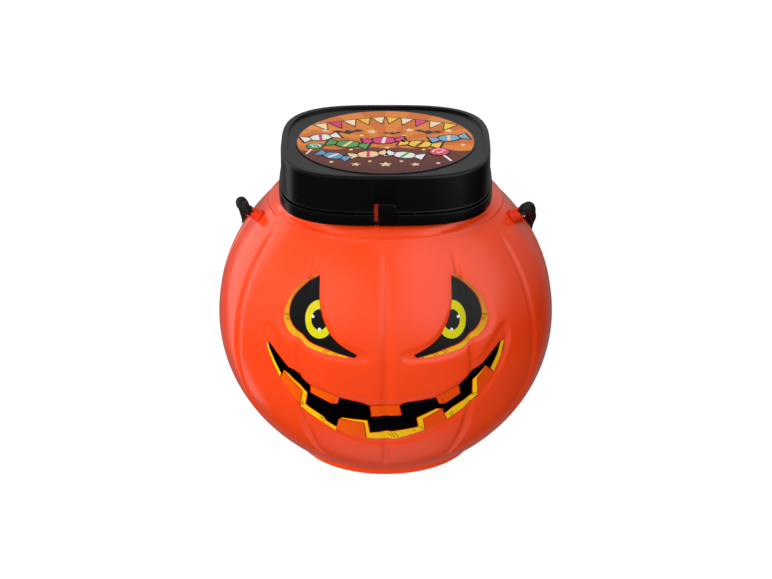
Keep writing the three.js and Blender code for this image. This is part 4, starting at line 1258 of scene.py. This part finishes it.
def handle_plug(side, name, node):
    """A barbed plug: the profile turned about the plug's leaning axis. The flange's underside is carried
    along the axis onto a sphere just clear of the shoulder, and the crown's lip is cut into prongs by a
    triangle wave, of which the lower front one is the longest."""
    seat, outward, sideways, upward, along_axis = plug_frame(side)
    lean = math.acos(float(outward @ along_axis))
    barb_top = -(BODY_WALL + PLUG_BARB_RADIUS * math.sin(lean) + SLIDE_CLEARANCE) / math.cos(lean)
    flange_top = CLEARANCE + PLUG_FLANGE_THICKNESS
    tip, bore_floor = barb_top - PLUG_BARB_LENGTH, PLUG_LENGTH - 2.2 * PRONG_LENGTH
    corners = [
        (0, tip, 0), (PLUG_STEM_RADIUS - 0.5, tip, 0.4), (PLUG_BARB_RADIUS, barb_top, 0.25),
        (PLUG_STEM_RADIUS, barb_top, 0.15), (PLUG_STEM_RADIUS, CLEARANCE, 0.1),
        (PLUG_FLANGE_RADIUS, CLEARANCE, 0.1), (PLUG_FLANGE_RADIUS, flange_top, 0.3),
        (PLUG_BARREL_RADIUS, flange_top, 0.25), (PLUG_MOUTH_RADIUS, PLUG_LENGTH - PRONG_LENGTH, 0.1),
        (PLUG_MOUTH_RADIUS, PLUG_LENGTH, 0.12), (PLUG_BORE_RADIUS, PLUG_LENGTH, 0.12),
        (PLUG_BORE_RADIUS, bore_floor, 0.2), (0, bore_floor, 0),
    ]
    profile = np.array(rounded_profile(corners))
    angles = np.radians(np.arange(0, 360, 3.75))
    radius = np.broadcast_to(profile[:, :1], (len(profile), len(angles)))
    along = np.broadcast_to(profile[:, 1:], radius.shape).copy()
    across = (radius * np.cos(angles))[..., None] * sideways + (radius * np.sin(angles))[..., None] * upward
    from_centre = outward * BODY_RADIUS + across
    level = from_centre @ along_axis
    beyond = (from_centre**2).sum(axis=-1) - (BODY_RADIUS + CLEARANCE) ** 2
    shoulder = -level + np.sqrt(level**2 - beyond)
    underside = np.abs(profile[:, 1] - CLEARANCE) <= 0.11
    along[underside] += shoulder[underside] - CLEARANCE
    wave = PRONG_COUNT * angles / (2 * np.pi)
    valley = 2 * np.abs(wave - np.round(wave))
    lip = np.clip((along - (PLUG_LENGTH - PRONG_LENGTH)) / PRONG_LENGTH, 0, 1)
    off_long = np.abs((angles - LONG_PRONG_TURN[side] + np.pi) % (2 * np.pi) - np.pi)
    lower_front = np.clip(1 - off_long / LONG_PRONG_SPREAD, 0, 1)
    along = along + (LONG_PRONG * lower_front - PRONG_LENGTH * valley)[None, :] * smooth_step(lip)
    points = seat + across + along[..., None] * along_axis
    quads = grid_quads(len(profile), len(angles), wrap_columns=True)
    make_piece(name, [(points, [quads], 0)], [PLUG_ORANGE], "jar", replaces=[node])


# Where the longest prong stands round each crown
LONG_PRONG_TURN = {-1: math.radians(300), 1: math.radians(240)}

for side, hand in ((-1, "left"), (1, "right")):
    handle_plug(side, f"{hand}_rope_plug", f"{hand}_handle_plug")


# Rope handle

# Route of the rope's middle line, behind the jar from plug to plug
ROPE_RIGHT = [
    (81.9, -12.1, 154.1), (83.15, -9.5, 153.8), (84, -6.4, 152.6), (84.8, -1.5, 150.1), (85.5, 5.8, 145.9),
    (86, 15.1, 140.1), (87.1, 26.4, 133.6), (86.6, 40.5, 124.2), (84.8, 55, 109.1), (78, 71, 91),
    (69.5, 81, 79), (58, 89.6, 68.5), (44, 96.4, 60), (29, 100.6, 54.4), (14, 102.5, 51.4),
]
ROPE_MIDDLE = (0, 103, 50.6)
ROPE_LEFT = [
    (-82.1, -12.5, 154.3), (-83.5, -10, 154.9), (-84.3, -6.7, 154.8), (-84.85, -1.3, 153.6),
    (-85, 6.5, 150.4), (-84.5, 15.9, 144.8), (-84.6, 26.7, 137.6), (-84.45, 40.9, 128.1),
    (-83.4, 55.3, 113), (-76.4, 72, 93), (-68.6, 81.4, 80.4), (-57.6, 89.8, 69.4), (-44, 96.4, 60.4),
    (-29, 100.6, 54.5), (-14, 102.5, 51.4),
]
# Points inside the right crown and at its mouth; the left ones are their mirror images
ROPE_INSIDE = [(76.6, -14.05, 151.6), (78.2, -14.2, 152.45), (79.8, -14, 153.3)]


def carried_frames(path):
    """Directions across a path that turn as little as possible: each is the last one, made square to the next
    step of the path."""
    tangent = np.gradient(path, axis=0)
    tangent /= np.linalg.norm(tangent, axis=1)[:, None]
    across = np.empty_like(path)
    side = np.cross(tangent[0], (0, 0, 1.0))
    for number, direction in enumerate(tangent):
        side = side - direction * np.dot(side, direction)
        side /= np.linalg.norm(side)
        across[number] = side
    return tangent, across, np.cross(tangent, across)


def rope_finish():
    """Dark twisted cord: each strand's fibres as fine slanting streaks, with a dusty sheen."""
    material, tree, shader = new_finish("dark_twisted_cord")
    place = add_node(tree, "UVMap", {}, uv_map="along_rope").outputs["UV"]
    stretched = add_node(tree, "Mapping", {"Vector": place, "Scale": (1.0, 26.0, 1.0)}).outputs["Vector"]
    fibre = noise(tree, stretched, 9.0, 5.0)
    tone = tone_ramp(tree, fibre, [(0.3, grey(0.003)), (0.75, (0.013, 0.013, 0.014))])
    relief(tree, shader, fibre, 0.35, 0.0003)
    feed(shader, {"Base Color": tone, "Roughness": 0.5})
    return material


def rope_handle():
    """Three strands laid round each other: each section is the outline of three circles on a small orbit,
    turned steadily along the route, and drawn in where the rope sits inside the crowns."""
    left_inside = [(-x, y, z) for x, y, z in ROPE_INSIDE]
    route = np.array([*ROPE_INSIDE, *ROPE_RIGHT, ROPE_MIDDLE, *ROPE_LEFT[::-1], *left_inside[::-1]], float)
    fine = smooth_curve(route, 40)
    run = np.concatenate([[0], np.cumsum(np.linalg.norm(np.diff(fine, axis=0), axis=1))])
    length = run[-1]
    steps = np.linspace(0, length, ROPE_SECTIONS)
    path = np.stack([np.interp(steps, run, fine[:, k]) for k in range(3)], axis=-1)
    _, across, upward = carried_frames(path)
    around = np.linspace(0, 2 * np.pi, ROPE_SIDES, endpoint=False)
    strand = ROPE_DIAMETER / 2 - STRAND_ORBIT
    lobe = np.abs((around * STRAND_COUNT + np.pi) % (2 * np.pi) - np.pi) / STRAND_COUNT
    reach = STRAND_ORBIT * np.cos(lobe) + np.sqrt(strand**2 - (STRAND_ORBIT * np.sin(lobe)) ** 2)
    end_gap = np.minimum(steps, length - steps)
    drawn_in = 1 - 2 * ROPE_IN_CROWN / ROPE_DIAMETER
    narrow = 1 - drawn_in * (1 - smooth_step((end_gap - CROWN_REACH) / CROWN_TAPER))
    cap = np.sqrt(np.clip(1 - (1 - np.clip(end_gap / ROPE_END_ROUND, 0, 1)) ** 2, 0, 1))
    turn = around[None, :] + (2 * np.pi * steps / ROPE_LAY)[:, None]
    radius = reach[None, :] * (narrow * cap)[:, None]
    points = (
        path[:, None, :] + (radius * np.cos(turn))[..., None] * across[:, None, :]
        + (radius * np.sin(turn))[..., None] * upward[:, None, :]
    )
    quads = grid_quads(ROPE_SECTIONS, ROPE_SIDES, wrap_columns=True)
    rope = make_piece(
        "rope_handle", [(points, [quads], 0)], [rope_finish()], "handle", sharp=60,
        replaces=["handle_rope"], ride=False,
    )
    number = len(rope.data.vertices)
    place = np.empty(number * 3)
    rope.data.vertices.foreach_get("co", place)
    place = place.reshape(-1, 3) / MM
    nearest = np.argmin(((place[:, None, :] - path[None, ::2, :]) ** 2).sum(axis=-1), axis=1) * 2
    away = place - path[nearest]
    spin = np.arctan2((away * upward[nearest]).sum(axis=1), (away * across[nearest]).sum(axis=1))
    along = steps[nearest] / ROPE_LAY
    fibre_turn = (spin / (2 * np.pi) - along) % 1
    uv = rope.data.uv_layers.new(name="along_rope")
    corners = np.empty(len(rope.data.loops), dtype=np.int32)
    rope.data.loops.foreach_get("vertex_index", corners)
    values = np.stack([along[corners], fibre_turn[corners]], axis=-1)
    uv.uv.foreach_set("vector", values.ravel())
    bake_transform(rope)


rope_handle()


# Room and light


FLOOR_HALF = 6.0


def studio_floor():
    """A white floor that glows a little; it is kept out of the jar's reflections and shading."""
    material, tree, shader = new_finish("pale_floor")
    tone = tone_ramp(tree, noise(tree, own_place(tree), 30.0), [(0.3, grey(0.1)), (0.7, grey(0.12))])
    feed(shader, {"Base Color": tone, "Roughness": 0.9, "Specular IOR Level": 0.0})
    feed(shader, {"Emission Color": (1, 1, 1, 1), "Emission Strength": 0.97})
    mesh = bpy.data.meshes.new("floor")
    corners = [(x * FLOOR_HALF, y * FLOOR_HALF, 0) for x, y in ((-1, -1), (1, -1), (1, 1), (-1, 1))]
    mesh.from_pydata(corners, [], [(0, 1, 2, 3)])
    mesh.materials.append(material)
    floor = bpy.data.objects.new("floor", mesh)
    bpy.context.scene.collection.objects.link(floor)
    floor.visible_glossy = False
    floor.visible_diffuse = False
    floor.visible_shadow = False


def surround(stops, panels):
    """A dim surround that brightens upwards, with soft-edged panels that the gloss picks up. A panel is given
    by its azimuth and rise, how much its height is squashed, the angles where it is full and gone, and how
    bright it is."""
    world = bpy.data.worlds.new("studio_surround")
    bpy.context.scene.world = world
    world.use_nodes = True
    tree = world.node_tree
    place = add_node(tree, "TexCoord", {}).outputs["Generated"]
    rise = add_node(tree, "SeparateXYZ", {"Vector": place}).outputs["Z"]
    height = add_node(tree, "MapRange", {"Value": rise, "From Min": -1}).outputs["Result"]
    total = tone_ramp(tree, height, [(position, grey(level)) for position, level in stops])

    def vector(operation, **inputs):
        node = add_node(tree, "VectorMath", {}, operation=operation)
        feed(node, {"Scale" if key == "scale" else int(key[1:]): value for key, value in inputs.items()})
        return node

    for azimuth, rise, squash, full, gone, level in panels:
        squashed = vector("MULTIPLY", n0=place, n1=(1, 1, squash)).outputs["Vector"]
        ahead = vector("NORMALIZE", n0=squashed).outputs["Vector"]
        toward = direction(1, azimuth, rise) * np.array([1, 1, squash])
        facing = vector("DOT_PRODUCT", n0=ahead, n1=tuple(toward / np.linalg.norm(toward))).outputs["Value"]
        limits = {"From Min": math.cos(math.radians(gone)), "From Max": math.cos(math.radians(full))}
        share = add_node(tree, "MapRange", {"Value": facing, **limits}, interpolation_type="SMOOTHSTEP")
        glow = vector("SCALE", n0=grey(level), scale=share.outputs["Result"]).outputs["Vector"]
        total = vector("ADD", n0=total, n1=glow).outputs["Vector"]
    feed(tree.nodes["Background"], {"Color": total})


def soft_box(name, place, aim, width, height, level):
    """A rectangular soft light, kept out of reflections, with its sizes in metres; level is how bright its
    face looks."""
    data = bpy.data.lights.new(name, "AREA")
    data.shape = "RECTANGLE"
    data.size = width
    data.size_y = height
    data.energy = level * math.pi * width * height
    light = bpy.data.objects.new(name, data)
    bpy.context.scene.collection.objects.link(light)
    light.visible_glossy = False
    light.location = place
    light.rotation_euler = (Vector(aim) - Vector(place)).to_track_quat("-Z", "Y").to_euler()


SURROUND_STOPS = [(0.35, 0.0), (0.42, 0.06), (0.5, 0.15), (0.63, 0.26), (0.86, 0.26), (0.95, 0.1)]
PANELS = [
    (58, 28, 1.0, 20, 48, 0.64), (25, 64, 1.0, 8, 24, 0.3), (-126, 10, 0.5, 14, 20, 0.6),
    (-131, -33, 0.7, 5, 13, 0.4), (180, -5, 0.6, 20, 48, 0.12), (0, -90, 1.0, 12, 34, 0.2),
]
studio_floor()
surround(SURROUND_STOPS, PANELS)
LIGHTS = {
    "overhead_soft_box": ((0, 0.4, 1.7), (0, 0.1, 0), 2.4, 2.0, 1.5),
    "key_soft_box": ((-1.09, -1.09, 0.82), (0, 0, 0.1), 1.2, 1.2, 3.35),
    "left_soft_box": ((-1.35, 0.1, 0.2), (0, 0, 0.1), 1.0, 1.0, 2.3),
    "front_soft_box": ((0.15, -1.4, 0.4), (0, 0, 0.1), 1.0, 1.0, 1.15),
    "light_table": ((-0.55, -0.3, -0.03), (-0.55, -0.3, 1), 1.7, 1.7, 0.74),
}
for name, values in LIGHTS.items():
    soft_box(name, *values)
bpy.context.scene.view_settings.view_transform = "Standard"
